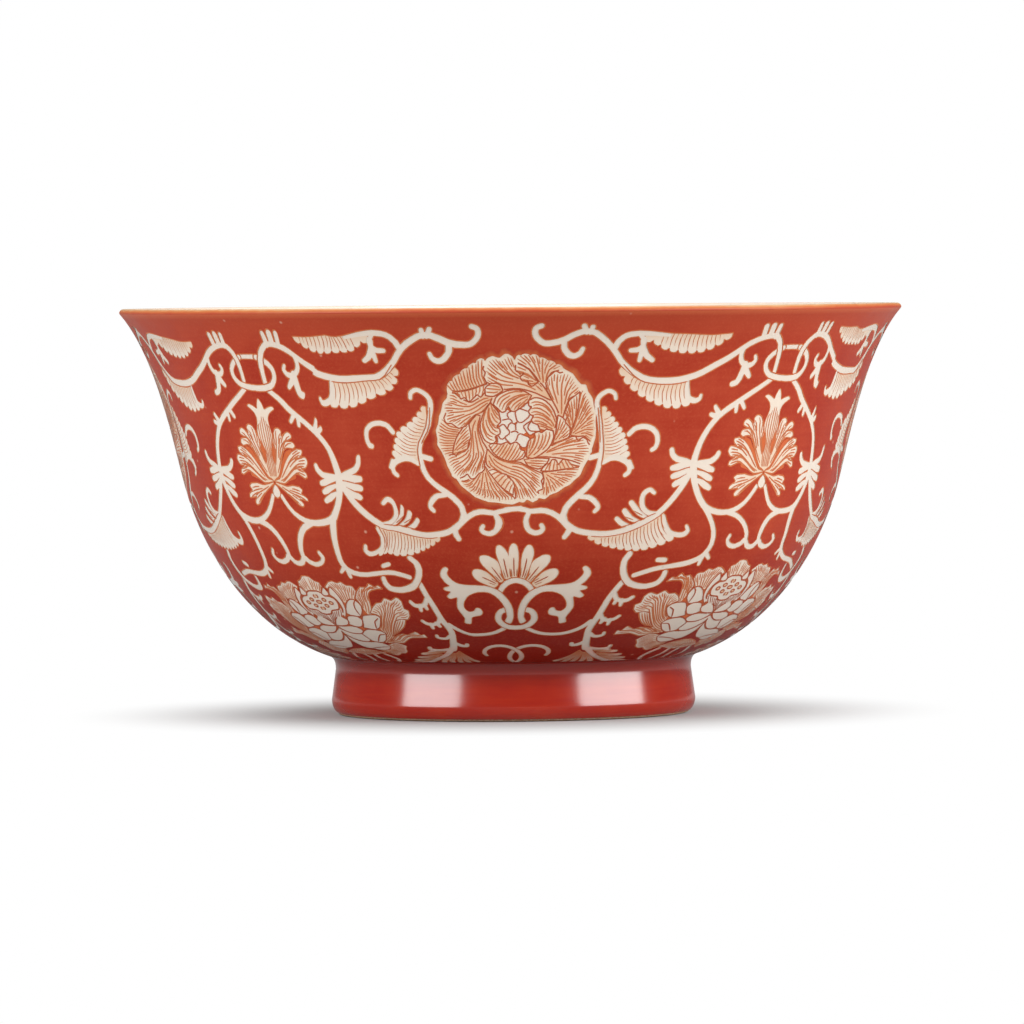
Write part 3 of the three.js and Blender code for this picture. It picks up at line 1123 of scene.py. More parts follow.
def hatch(sheet, sides, foot, ends, layer, copies, width):
    """Lines from the foot of a petal to its edge. Where they would crowd, every other one
    starts further out."""
    lines = len(ends) - 2
    steps = np.linspace(0, HATCH_END, HATCH_STEPS)
    a, b = (np.interp(steps, np.linspace(0, 1, len(side)), side) for side in sides)
    rim_share = steps**4
    pitch = (np.abs(a - b) * (1 - rim_share) + run_along(ends)[-1] * rim_share) / (lines + 1)
    for row in range(1, lines + 1):
        f = row / (lines + 1)
        way = (1 - f) * a + f * b
        way += steps * (ends[row] - (1 - f) * sides[0][-1] - f * sides[1][-1])
        way += (1 - steps) * (foot[row] - (1 - f) * sides[0][0] - f * sides[1][0])
        open_enough = pitch * min(row & -row, 8) >= HATCH_PITCH * CROWDED * width / HATCH
        first = int(np.argmax(open_enough)) if open_enough.any() else len(steps) - 3
        if len(steps) - first > 2:
            sheet.line(way[first:], width, layer, copies)


def petal(sheet, left, right, tip, layer, copies="both", base=None, kind="wash", tone="red",
          outline=OUTLINE, lobes=0, within=None, shading=HATCH, haloed=False):
    """A petal between two sides from its root to its tip, with lines that follow it.
    The tip is a curve from the end of the left side to the end of the right one."""
    left, right, tip = smooth(pts(left)), smooth(pts(right)), pts(tip)
    edge = lobed(tip, lobes, PETAL_LOBE) if lobes else smooth(tip, bend=TIP_BEND)
    loop = np.concatenate([left, edge, right[::-1]])
    if haloed:
        sheet.mark(HALO_LAYER, "halo", grown(loop, HALO), copies)
    if base is not None:
        loop = np.concatenate([loop, smooth(pts(base))[::-1][1:-1]])
    root = (left[0] + right[0]) / 2
    sheet.mark(layer, kind, loop, copies, root, reach=np.abs(loop - root).max())
    pitch = HATCH_PITCH * shading / HATCH
    lines = max(3, int(run_along(smooth(tip, bend=0.8))[-1] / pitch) - 1)
    foot = even(smooth(pts(base)), lines + 2) if base else np.linspace(left[0], right[0], lines + 2)
    sides = even(left, SIDE_POINTS), even(right, SIDE_POINTS)
    hatch(sheet, sides, foot, even(edge, lines + 2), layer, copies, shading)
    sheet.edged(loop, outline, layer + 0.5, copies, tone, within)


print("petals are hatched with a line every", HATCH_PITCH, "mm")

# %% [markdown]
# A leaflet low on the trunk is one narrow finger, with a line on each side and two along it.

# %% Narrow leaflets
FINGER_POINTS = 15
FINGER_GAP = 0.8
FINGER_LINES = ((-0.94, 14), (-0.33, 13), (0.33, 13), (0.94, 14))
FINGER_WASH_REACH = 7.0


def finger(sheet, path, widths, layer):
    """One narrow leaflet. A line's place is a share of its half width, and then where it ends."""
    path = pts(path)
    sheet.mark(HALO_LAYER, "halo", stroke(path, widths, HALO, FINGER_GAP))
    sheet.mark(layer, "wash", stroke(path, widths, 0, FINGER_GAP), root=path[0], reach=FINGER_WASH_REACH)
    line = even(smooth(path, FINGER_GAP), FINGER_POINTS)
    span = np.linspace(0, 1, FINGER_POINTS)
    half = np.interp(span, np.linspace(0, 1, len(widths)), widths) / 2
    for share, last in FINGER_LINES:
        sheet.line((line + sideways(line) * half * share)[:last], VEIN * 1.25, layer)


print("a leaflet has", len(FINGER_LINES), "lines")

# %% [markdown]
# The scroll is reserved: the painter laid coral round it and left the white glaze bare. Under the
# lip a feathered leaf lies above the stem and another hangs below it. Each is given by its spine
# and its edge, in places read from left to right.

# %% Upper leaves
def upper_leaves(sheet):
    leaf(sheet, "22,85 26,84.8 30,84.6 34,84.4 37.8,84.7",
         "21.5,84 23.6,83.6 24.6,82.9 26.3,82.2 28.2,81.8 30.5,81.7 32.3,81.8 34,82.3 35.6,83.1 37.8,84.7",
         10, 0.6, bow=-0.06)
    leaf(sheet, "18.2,78.8 20.7,76.9 22.3,76.1 24.3,75.6 26.7,75.5 29,75.5 31.3,76",
         "18.2,78.8 18.9,77.4 20.1,75.8 21.4,74.8 23,73.7 25,72.7 27.2,71.9 29.2,71.7 30.8,72 32.2,72.3",
         9, 0.65)
    sheet.line(smooth(pts("18.6,79.3 20.3,77.5 22.2,76.2 24.3,75.7 26.7,75.5 29,75.6 31,76")), FINE_LINE,
               STEM_LAYER + 0.5)


paint(upper_leaves)

# %% [markdown]
# Stems are single strokes that swell and end round. A thin paler edge, where the wash ran out,
# follows them. The upper stem leaves the ring over the small flower, dips to its leaf and rises to
# a hook near the top of the peony. The ring passes over that stem on one side and under it on the
# other, so a short piece of the stem is painted once more on top.

# %% Upper scroll
def upper_scroll(sheet):
    sheet.stem("18,80 16.8,81.7 15.7,83 14.3,84.3 13,85.2 11.3,85.4 9.7,84.8 8,83.8 6.3,83.3 4.8,83.3 "
               "3.7,84.2 3.3,85.2 3.5,86.1 4.3,86.5", [1.0, 1.05, 1.1, 1.0])
    sheet.stem("49.7,77.6 49.7,79.5 49.5,81.2 48.9,82.9 47.8,84 46,84.1 44,83.6 42,82.7 40,81.3 38,80 "
               "35.7,78.8 33.3,77.5 31.3,76.8 29,76.3 26.7,76.2 24.3,76.3 22.3,76.8 20.7,77.7 19.3,78.7 "
               "18,80", [0.9, 1.0, 1.15, 1.15, 1.0], STEM_LAYER)
    sheet.stem("8.1,83.6 8.2,82.3 9,81.2 10,80.9 10.9,81.4 11.3,82.2", [1.0, 1.1, 0.8])
    sheet.stem("11.7,85.2 11.2,86.4", [0.9, 0.95])
    sheet.stem("12.3,85.1 12.6,86.2", [0.8, 0.9])
    sheet.stem("16.6,82.1 17.2,83.4 18.4,84.5 20.3,84.9 23,84.8 26,84.5", [1.1, 1.0, 0.6])
    sheet.stem("20.6,84.7 21.6,83.7 21.5,82.5 20.7,81.9 19.5,81.8", [0.5, 0.9, 1.0, 0.8])
    sheet.stem("21.3,83.6 21.8,82 22.5,80.8 23.6,80", [0.7, 1.2, 0.9])
    sheet.stem("21.6,81.8 21.3,80", [1.1, 0.8])
    sheet.stem("31,75.9 31.1,74.2 31.8,72.9 33,72.5 33.9,72.8 34.1,73.4", [0.7, 1.0, 1.1, 0.7])
    sheet.stem("44.6,84.2 44.5,85.9", [1.1, 1.1])
    sheet.stem("46.1,84.2 46.1,86", [1.2, 1.2])
    sheet.stem("47.4,84 47.6,86", [1.1, 0.9])
    sheet.stem("41.1,82.2 40.9,80.8 41.3,79.6 42.4,78.8 43.7,78.9 44.4,79.7 44.1,80.4", [0.9, 1.0, 1.0, 0.7])
    sheet.stem("42.3,79 41.9,77 41.3,75.8 40.3,75.4", [1.2, 1.3, 1.0])
    sheet.stem("42.3,78.4 43.8,76.8", [1.5, 0.9])
    sheet.stem("50.3,81.9 48.6,81.1 47.3,79.8 47.2,78.4 48.2,77.2 49.8,76.6 52.3,76.3 54.8,76.6",
               [0.9, 1.0, 1.0, 1.0], OVER_LAYER)
    sheet.stem("49.4,81.7 51,82 53.6,82", [0.75, 0.75], STEM_LAYER)
    sheet.stem("49.7,80 49.5,81.4 48.9,82.9 47.8,84", [1.0, 1.05], OVER_LAYER + 1, open_ends=True)


paint(upper_scroll)

# %% [markdown]
# A bow of stem follows the peony on either side, with a feathered leaf and a curled hook on its
# outer side.

# %% Bow beside the peony
def bow_beside_peony(sheet):
    sheet.stem("17.8,73.1 17.5,74 16.4,74.5 15.2,73.9 14.5,72.9 14.5,71.6 15,70 15.4,68 15.7,66 15.9,64 "
               "15.7,62 15.3,60 14.6,58.2 13.4,56.6 12,55.3 10.7,54 9.6,52.6 9.1,51",
               [0.7, 0.9, 1.0, 1.0, 1.0, 1.2, 1.2])
    sheet.stem("12.3,54.8 14,54.6 15.3,53.6 15.8,52.6 15.2,51.8", [0.9, 1.1, 0.8])
    leaf(sheet, "15.4,71.6 15.6,68.5 15.9,66 16,64 15.9,62.5 15.9,61.2",
         "15.4,71.6 16.5,70.3 17.4,69.3 18.2,68.2 19,67.2 19.7,66.1 20.1,64.8 20.5,63.4 20.9,62.2",
         9, -0.55, bow=-0.12, end="20.6,61.9 19.8,61.8 18,61.9")
    for path in ("15.1,71 15.6,69 15.9,66.5 16.2,64 16.1,62 15.9,60.6", "14.7,71.5 15,69.5 15.3,67 15.5,65"):
        sheet.line(smooth(pts(path)), RIB_LINE, STEM_LAYER + 0.5)
    sheet.stem("16.2,61.2 17.5,62 19,62.1 20.6,61.4 21.4,60.4 21.3,59.4 20.6,58.8",
               [0.7, 1.0, 1.1, 1.0, 0.8])
    sheet.stem("20.8,66.5 21.8,67.5 23.3,67.9 24.9,67.6 26.1,66.6 26.5,65.2 26.2,64 25.5,63.5",
               [0.9, 1.0, 1.0, 1.0, 0.8])
    sheet.stem("21.3,61.4 22,60.2", [0.8, 0.6])
    sheet.stem("13.7,62.2 15.5,62.7", [1.0, 1.0])


paint(bow_beside_peony)

# %% [markdown]
# Under the peony the two bows meet in a short chain. From there a stem runs out and up to the
# whorl beside the small flower, with a leaf hanging below it, three small leaflets above it and a
# curl at either end.

# %% Chain under the peony
def chain_under_peony(sheet):
    sheet.stem("-1,52.6 0,52.6 1.5,52.4 2.7,52 4,52.1 5.5,52.1 7,51.6 8.3,50.7 9.4,49.6 10.3,48.6",
               [1.0, 1.0, 1.1, 1.1, 1.2])
    sheet.stem("9.1,51.2 9.6,49.6 11.3,48.2 13.3,47.5 16.7,47.1 19.3,47.2 22,47.9 24.7,49 27,50.2 "
               "29.3,52.1 31.3,54.5 33,57 34.3,59.5", [1.3, 1.2, 1.2, 1.1, 1.2, 1.2])
    sheet.stem("10.8,48.6 10.2,47.4 9.6,46.5", [1.3, 1.0])
    sheet.stem("2.6,51.9 2.1,50.8 2,49.6 2.5,48.2 3.7,47.5 4.8,47.7 5.3,48.4 5,49.1", [0.9, 1.1, 1.1, 0.9])
    leaf(sheet, "14.3,46.8 17,46.5 19.5,46.7 22.5,47.4 25,48.5 27.5,49.9 29.5,51.2",
         "14.3,46.8 16.3,45.5 18.2,44.8 20.3,44.3 22.4,43.9 24.4,43.7 26.4,43.8 28.4,44.4 30.2,45.1 32,46.2",
         11, 0.6, end="30.9,47.5 29.9,49.6")
    for path in ("29,51 29.2,49.3 29.9,47.9 31,46.9", "28.4,50.6 28.4,49 29,47.4 29.9,46.4"):
        sheet.line(smooth(pts(path)), FINE_LINE)
    sheet.line(smooth(pts("15,46.6 17,46.4 19.5,46.6 22.5,47.3 25,48.4 27.5,49.8 29,50.8")), FINE_LINE,
               STEM_LAYER + 0.5)
    sheet.stem("29.6,50.6 30.2,48.6 31.1,47.1 32.6,46.5 34,46.6 34.8,47.4 34.6,48.3",
               [0.6, 0.9, 1.1, 1.1, 0.8])
    sheet.stem("28.2,50.9 26.2,51.3 24.9,52.4 24.5,53.9 24.8,55.2 25.9,55.9 26.9,55.3",
               [1.2, 1.0, 1.1, 1.0, 0.8])
    for path, width in (("26.3,50.2 24.3,51.3 22.4,53.4", 1.2), ("24.6,49.5 22.6,50.3 21.2,51.8", 1.2),
                        ("22.6,48.7 21,49.2 19.8,50.2", 1.1)):
        sheet.stem(path, [0.5, 1.0, width, width * 0.9], LEAF_LAYER)
    sheet.line(smooth(pts("20.2,48.3 22.5,48.9 24.6,49.8 26.7,50.8 27.8,51.2")), FINE_LINE, STEM_LAYER + 0.5)
    for path in ("26.5,51.4 24.6,52.5", "25,50.8 23,51.8", "23.2,49.9 21.4,50.6"):
        sheet.line(smooth(pts(path)), FINE_LINE)


paint(chain_under_peony)

# %% [markdown]
# Two stems part at a whorl of small leaves and close round the small flower like a frame. Spurs
# stand on their outside, and a lower branch swings down to the trunk.

# %% Frame of the small flower
def flower_frame(sheet):
    sheet.stem("34.5,60.5 34.9,62.8 35.6,65 36.8,67.3 38.5,69.4 40.5,70.9 42.5,72.1 45,73.6 47.5,75 "
               "49.4,76.2",
               [1.5, 1.2, 1.1, 1.1, 1.0, 0.9])
    sheet.stem("34.6,60.4 35.2,57.5 36.6,54.6 38.6,52.3 41.3,51.2 44,51 46.3,51.5 48.5,52.8 50,54.5 51,56",
               [1.6, 1.3, 1.3, 1.1, 1.0, 0.9])
    sheet.stem("37.6,53.4 39.5,51 40.7,48.2 40.9,45.2 40.4,43 39,41.2 36.5,40 33.5,39.4 30,38.8 "
               "27.5,37.9 25.7,37.2",
               [1.2, 1.2, 1.2, 1.3, 1.1, 1.1], STEM_LAYER)
    sheet.stem("44,51.1 47,50.2 49,48.6 50.1,46.5 50.2,44.6", [1.0, 1.1, 1.2, 1.1])
    sheet.stem("34.2,60.8 32.4,61.4 30.9,61.7 29.9,62.5 29.6,63.4", [0.9, 1.1, 1.15, 1.05])
    sheet.stem("35.2,60.8 36.6,60.9 38.3,61.1 39.5,61.9 39.9,62.6", [0.9, 1.1, 1.15, 1.05])
    whorl = ("30.1,60 33.8,60.6", "30.4,58.4 33.8,59.6", "30.9,56.8 33.7,58.5",
             "39,59.5 35.5,60.4", "38.8,57.8 35.7,59.1", "38.8,56 36,57.6")
    for path in whorl:
        sheet.stem(path, [1.05, 1.4, 1.2, 0.75], LEAF_LAYER)
    for path in ("29.9,61 33.8,61", "30.7,59.2 33.9,60.2", "31.2,57.7 34,59.2",
                 "39.3,60.4 35.7,60.9", "38.9,58.6 35.7,59.9", "38.6,56.9 36,58.5"):
        sheet.line(smooth(pts(path)), RIB_LINE)
    sheet.stem("38.6,70 37.6,71.3", [1.2, 0.8])
    sheet.stem("37.8,69.6 36.9,69.9", [1.0, 0.8])
    sheet.stem("42.3,71.7 42.4,70.4", [1.0, 0.8])
    sheet.stem("43.3,72.2 44.2,71", [1.0, 0.8])
    sheet.stem("45.4,46 44.9,45 45.7,43.9 47.3,43.5 48.9,44 50,44.8 51.2,43.6 52.3,43.2 53.5,43.6",
               [0.8, 1.0, 1.1, 1.2, 1.1, 1.1])
    sheet.stem("39.4,41.3 39.2,39.6", [1.2, 0.9])
    sheet.stem("40.2,42 41.3,40.9", [1.2, 0.8])
    sheet.stem("29.9,40.9 31.2,40.8", [1.1, 1.2])


paint(flower_frame)

# %% [markdown]
# The trunk starts with a hook that the branch threads, carries buds on its outer side, and ends at
# the foot among narrow leaflets. The hook passes over the branch on one side only, so a piece of
# the branch is painted again on top of it.

# %% Trunk
def trunk(sheet):
    sheet.stem("23.7,42.5 22.9,41 22.9,39 23.6,37 25,35.3 27,34.4 29,34.2 31,34.9 31.9,36.3 32.1,37.8",
               [1.3, 1.5, 1.5, 1.4, 1.1], OVER_LAYER)
    sheet.stem("27.8,38 30,38.8 33.5,39.4", [1.1, 1.1], OVER_LAYER + 1, open_ends=True)
    sheet.stem("23.4,35.4 22.4,33.5 21.3,31 20.6,28 19.9,25 19.2,22.4 18.8,20 19.1,17.5 19.5,15 20,12.5 "
               "20.6,10.8",
               [1.3, 1.4, 1.5, 1.6, 1.7, 1.8, 2.1, 2.2])
    sheet.stem("18.6,23.6 17.4,22 16,20.7 14,19.5 12,18.8 9.5,18.6 7,18.9 5,19.7 3.6,20.6 2.8,21.2",
               [1.3, 1.2, 1.15, 1.2])
    sheet.stem("20.2,12.2 21.5,10.2 23,8 25,5.6 27,3.6 29,1.9 31.4,0", [2.0, 1.8, 1.8, 1.6])
    buds = (
        ("22.4,32.3 23.2,30.8 24.6,30.2 26,30.4 26.9,31.2", 1.2), ("23.4,30.8 23,29.4", 1.1),
        ("24.6,30.4 24.7,28.8", 1.1),
        ("20.4,26.2 21.4,24.4 23,23.8 24.5,24.2 25.4,25.2", 1.2), ("21.8,24.4 21.3,22.9", 1.2),
        ("23.4,24 23.4,22.2", 1.1),
        ("19.6,18.6 20.8,17.4 22.2,17.2 23.4,17.8 23.4,18.8", 1.2),
        ("19.2,14.8 18.2,13.7 17,13 15.9,13 15.6,13.9", 1.5),
        ("22,10.9 24.4,10.3 26.4,10.5 27.5,11.2 27.5,12.2", 1.4), ("26.6,10.2 28,9.7", 1.3),
    )
    for path, width in buds:
        sheet.stem(path, [width, width, width * 0.8])
    leaflets = (
        ("24,9.2 27.5,8.6 30.2,8.4", 1.9), ("25.3,7.4 29,5.8 32.6,5.6", 2.1),
        ("27,5.6 31,3.2 35.2,2.6", 2.3),
        ("29,3.4 33,0.6 37.4,-0.4", 2.2), ("19,9.4 17.6,6 15.6,3.2 13.2,1.2", 1.7),
        ("19.6,8.6 18.6,5 17.2,2 16.2,-0.5", 1.8),
        ("20.2,8.2 20,5 19.8,2 19.2,-0.5", 1.8), ("20.8,8 21.9,5 22.6,2 22.4,-0.5", 1.9),
        ("21.4,7.6 23.6,4.4 25.2,1.8 26,-0.5", 1.9),
    )
    for number, (path, width) in enumerate(leaflets):
        finger(sheet, path, [width * 0.4, width * 0.8, width, width * 0.9], LEAF_LAYER + 0.05 * number)


paint(trunk)

# %% [markdown]
# Just above the foot two hooks cross in the middle, and the left one passes over the right one. A
# stem of a higher layer brings its own halo, which cuts the other one apart.

# %% Hooks at the foot
def hooks_at_foot(sheet):
    path = pts("9.3,6.7 9.8,8.5 9.3,10.6 7.5,12.4 5,13.1 2.5,12.6 0.5,11.2 -1.2,8.8 -1.9,6 -1.6,3 "
               "-0.5,0.8 0.2,-0.4")
    widths = [1.2, 1.4, 1.4, 1.5, 1.5]
    sheet.stem(path, widths, OVER_LAYER, "once")
    sheet.stem(-np.conj(path), widths, OVER_LAYER + 1, "once")


paint(hooks_at_foot)

# %% [markdown]
# Low on the front, under the peony, a fan of seven long petals springs from an arch between two
# arms. The arms run through a ring, over it on one side and under it on the other. One petal
# stands in the middle, and the other three are mirrored. Each has a red line along its middle and
# a short one on either side of it.

# %% Palmette
PALMETTE_PETAL_LAYER = LEAF_LAYER
PALMETTE_LINE_LAYER = LEAF_LAYER + 0.2
PALMETTE_ARM_LAYER = OVER_LAYER + 0.8
PALMETTE_ARM_HALO_LAYER = OVER_LAYER + 0.7
PALMETTE_WASH_REACH = 6.5
# each petal as a loop, and the line along its middle
PALMETTE_PETALS = (
    ("-0.7,37 -1.2,39.4 -1.5,42 -1.4,44 -0.9,45 -0.3,45.2 0.3,44.6 0.6,43 0.6,41 0.45,39 0.1,37",
     "-0.3,37 -0.4,39.6 -0.4,42"),
    ("0.9,37.1 1.1,39 1.1,41 1.4,43 2,44.4 2.7,44.9 3.4,44.4 3.7,43 3.4,41.4 2.9,39.6 2.4,38 1.9,36.8",
     "1.4,37.2 1.9,39.4 2.3,41.8"),
    ("2.3,36.4 2.8,38 3,39.6 3.5,41 4.6,42 5.8,42.6 6.9,42.4 7.1,41.4 6.6,40.2 5.5,38.9 4.4,37.7 3.2,36",
     "2.7,36.5 3.8,38.3 4.8,39.8"),
    ("3.5,35.6 4.6,37.2 5.8,38.5 7.2,39.2 8.5,39.2 9,38.3 8.6,37.1 7.6,36.1 6.3,35.4 5,34.6 4.2,34.6",
     "4,35.6 5.5,36.5 6.9,37.3"),
)
PALMETTE_ARM = (
    "1.2,23.2 0.6,24.8 0.5,27 0.8,29 1.5,31 2.6,32.8 4,34 6,34.9 8,35.1 11,35.3 12.6,35.8 13.8,36.9 "
    "14.4,38.2 14,39.3 14.6,39.8 15.5,39.2 16,38 15.7,36.9 15,35.8 14.2,35 15.4,34.6 15.7,34.1 "
    "15.2,33.7 14.2,33.4 15,32.5 15.2,31.9 14.4,31.4 13,31.8 13,30.8 13.3,29.5 13.2,28 12.3,26 12,25 "
    "12.3,23.6 11.4,23.1 10.6,23.3 10.3,25 9.9,25.6 9,25.8 7.9,26.3 7.6,27.3 8,28.3 8.8,28.5 9.4,27.6 "
    "10.5,27.3 11.3,27.9 11.7,29 11.4,30.5 10.3,32.2 8.5,33.2 6.5,33.3 5,32.7 3.6,31.3 2.6,29.5 "
    "2.1,27.6 1.9,25.6 2.4,24"
)


def palmette_petal(sheet, loop, vein, copies):
    loop, vein = smooth(pts(loop), closed=True), smooth(pts(vein))
    sheet.reserve(loop, PALMETTE_PETAL_LAYER, "leaf", copies, root=loop[:1], reach=PALMETTE_WASH_REACH)
    sheet.line(vein, HATCH, PALMETTE_LINE_LAYER, copies, "red")
    beside = 0.45 * sideways(vein)[0]
    for side in (-1, 1):
        start = vein[0] + side * beside
        stop = vein[0] + (vein[-1] - vein[0]) * 0.45 + side * beside * 1.4
        sheet.line(np.array([start, stop]), VEIN, PALMETTE_LINE_LAYER, copies, "red")


def palmette(sheet):
    for number, (loop, vein) in enumerate(PALMETTE_PETALS):
        palmette_petal(sheet, loop, vein, "once" if number == 0 else "axis")
    arch = "-3.7,33.4 -2.9,34.8 -1.7,35.9 0,36.4 1.7,35.9 2.9,34.8 3.7,33.4"
    sheet.stem(arch, [1.2, 1.35, 1.35, 1.35, 1.2], OVER_LAYER, "once")
    right_of_ring = pts("0,21.5 2,21.8 3.5,22.9 4.4,24.5 4.3,26.2 3.6,27.4 2.6,27.9")
    ring = np.concatenate([-np.conj(right_of_ring[:0:-1]), right_of_ring])
    sheet.stem(ring, [1.5, 1.6, 1.6, 1.6, 1.5], OVER_LAYER, "once")
    arm = smooth(pts(PALMETTE_ARM), closed=True)
    sheet.reserve(arm, PALMETTE_ARM_LAYER, copies="axis", halo_layer=PALMETTE_ARM_HALO_LAYER)


paint(palmette)

# %% [markdown]
# The small flower hangs inside each round of stems. Three lobed petals spread on either side of a
# middle one shaped like a vase, all shaded with lines from the heart outward, and a deep orange
# shows between them. A white bead closes it below. The flower's axis is the edge of the sheet, so
# the next sheet brings its other half.

# %% Small flower
VASE_LAYER = SMALL_FLOWER_LAYER + 5
BEAD_LAYER = SMALL_FLOWER_LAYER + 6
FLOWER_HOLLOWS = (
    "52.3,60.6 50.6,59.6 48.6,59.2 46,59.8 46,60.6 48.6,61.4 46.4,63.8 45.6,65.4 47.2,65 49,62.6 "
    "50.1,63.6 49.9,66.2 50.6,66.8 51.6,66.2 52.3,66.4"
)
# left side, right side, tip
SMALL_FLOWER_PETALS = (
    ("52,58.7 49.1,58.1 47.1,58.5 45.2,58.4", "52,58.4 49.4,56.9 47.6,55.5 46.4,54.4",
     "45.2,58.4 44.5,57.9 45,57.1 43.9,56.4 43.8,55.6 45.9,55.8 45.2,54.8 45.5,54.2 46.4,54.4"),
    ("52,59 50.6,59.4 49.4,60.8 47.8,63 46,64.7 44.3,65.5",
     "52,58.8 49.4,58.6 47.2,59.9 45.3,60.8 43.2,60.1",
     "44.3,65.5 43.2,65.3 43.3,64.5 44,63.9 42.6,63.9 42.1,63 42.8,62 44,61.8 42.9,61.2 42.6,60.4 "
     "43.2,60.1"),
    ("52.1,59.2 50.7,59.9 49,62.6 47.9,64.8 46.6,65.8 45.1,65.6",
     "52.2,59.4 50.9,62.5 50.1,64.7 50.4,65.8 50.2,66.9",
     "45.1,65.6 44.5,66.1 44.9,66.9 46.4,67.1 45,67.7 44.9,68.5 45.8,68.9 47.4,68 47.2,69 48,69.6 "
     "49.2,69 50.2,66.9"),
)
# right half, from the axis
VASE = (
    "0,59 0.9,60.2 1.3,61.6 1.2,62.6 0.8,63.8 0.9,65 1.6,66.2 2.1,67.4 2.1,68.4 1.7,69.6 1.5,70.8 "
    "1.9,71.8 2.8,72.6 3.4,73 2.8,73.3 1.7,72.9 0.9,72.5 0.6,73.4 0,74.3"
)
VASE_LINES = (-1.6, -1.0, -0.35, 0.35, 1.0, 1.6)


def vase(sheet):
    """The middle petal. Each of its lines narrows and widens with it."""
    half = pts(VASE)
    whole = np.concatenate([HALF_SHEET + half, (HALF_SHEET - half.conj())[-2:0:-1]])
    loop = smooth(whole, 0.8, closed=True)
    sheet.reserve(loop, VASE_LAYER, "leaf", "axis", root=HALF_SHEET + 59j, reach=15.0)
    for shift in VASE_LINES:
        way = (0.5, 59.8), (0.75, 62), (0.55, 64), (1, 66.8), (1, 69), (0.7, 71.4 - abs(shift))
        path = [HALF_SHEET + shift * share + height * 1j for share, height in way]
        sheet.line(smooth(path), VEIN * 1.4, VASE_LAYER, "axis")


def small_flower(sheet):
    sheet.mark(SMALL_FLOWER_LAYER, "deep", mirrored_loop(smooth(pts(FLOWER_HOLLOWS))), "axis")
    for number, (left, right, tip) in enumerate(SMALL_FLOWER_PETALS, 1):
        petal(sheet, left, right, tip, SMALL_FLOWER_LAYER + number, kind="leaf", tone="ochre",
              outline=VEIN, shading=0.28, haloed=True)
    vase(sheet)
    bead = smooth(HALF_SHEET + pts("0,58.2 1,57.1 0.9,56.1 0,55.6 -0.9,56.1 -1,57.1"), closed=True)
    sheet.reserve(bead, BEAD_LAYER, copies="axis")
    sheet.edged(bead, VEIN, BEAD_LAYER + 0.5, "axis", "ochre")


paint(small_flower)

# %% [markdown]
# The lotus stands low on the wall between two peonies. Its outer petals are shaded with close
# lines, and its white inner ones are edged with red. They are drawn round the sheet's edge like
# the small flower: the side petals are mirrored there, and the petals in the middle lie across it.
# The places were read beside the flower, and one shift sets all of them on its axis.

# %% Outer petals of the lotus
LOTUS_SHIFT = -1.6
LOTUS_MIDDLE_LAYER = LOTUS_LAYER + 6
LOTUS_HATCH = 0.3
# left side, right side, rim
LOTUS_SIDE_PETALS = (
    ("44.5,30 42.6,33.4 41,35.8", "47,30.5 46.3,32.5 46.9,35 49.5,37.2",
     "41,35.8 41.3,37 42.1,37.4 43,37.4 44.2,38.3 45.3,38 46.3,38.6 47.6,38.6 48.5,38.1 49.5,37.2"),
    ("40,27 39.4,30.2 39.2,32.5 38.9,34.2 38,35.4 36.3,35.6 34.7,35.3", "42,27 41.2,30.5 41.5,32.5 42,34",
     "34.7,35.3 35.5,36.4 36.5,36.3 37.5,37.4 38.3,36.6 39.5,36.9 40.3,36.3 41.3,35.2 42,34"),
    ("41,18.2 39,18.5 37,20 35.8,22 34.5,24.5 34,26 32.3,26.5 30.8,26.2 29.8,27.3",
     "41,24 38.5,25 37.6,27.5 38.3,28.8 39.8,29.6",
     "29.8,27.3 29.7,28.8 30.8,29.4 31,31.3 32.2,32.4 33.6,31.8 34.3,32.3 35.3,32.8 36.3,31.9 37.8,32 "
     "39.2,30.9 39.8,29.6"),
    ("40,17.8 38.5,17.8 36.5,17.2 35,16.8 34,17.3 32,18.2 30,18 28,17.8", "40.5,18.4 39.6,18.6 38.5,18.8",
     "28,17.8 28.4,19.6 29.3,19.4 30.3,21.2 31.5,20.5 32.5,20 33.5,20.7 35.5,20.5 37,19.8 38.5,18.8"),
    ("46.5,13.6 45.8,12 45,10.4", "44.5,14.5 41,16.8 38,17.6 36,16.2 35,14.9",
     "45,10.4 43.5,9 42,8.3 40.6,9 39.5,10.2 38,10 36.5,11.3 36,13.3 35,14.9"),
    ("34.5,21.5 33.3,22.5 32.3,24 31.4,26.2", "37,20.6 35.9,21.9 34.5,24.5 33.9,26",
     "31.4,26.2 32.6,26.5 33.9,26"),
)
LOTUS_MIDDLE_PETALS = (
    ("55.6,14 59.2,12.8 62.8,10.4", "52.2,14 48.6,12.8 45,10.4",
     "62.8,10.4 60.8,9.8 59.3,9.6 57.3,8.8 55.3,8.8 53.9,8.2 52.5,8.8 50.5,8.8 48.5,9.6 47,9.8 45,10.4"),
    ("52.3,33 51,35.4 50.2,37.2", "55.5,33 56.8,35.4 57.6,37.2",
     "50.2,37.2 50.6,38.7 51.7,39.1 52.6,40 53.9,40.2 55.2,40 56.1,39.1 57.2,38.7 57.6,37.2"),
)


def at_lotus(text):
    """Places read beside the lotus, set on its own axis."""
    return " ".join(f"{place.real + LOTUS_SHIFT},{place.imag}" for place in pts(text))


def lotus_petals(sheet, petals, first, copies):
    for number, (left, right, rim) in enumerate(petals):
        petal(sheet, at_lotus(left), at_lotus(right), at_lotus(rim), first + number, copies, kind="leaf",
              shading=LOTUS_HATCH, haloed=True)


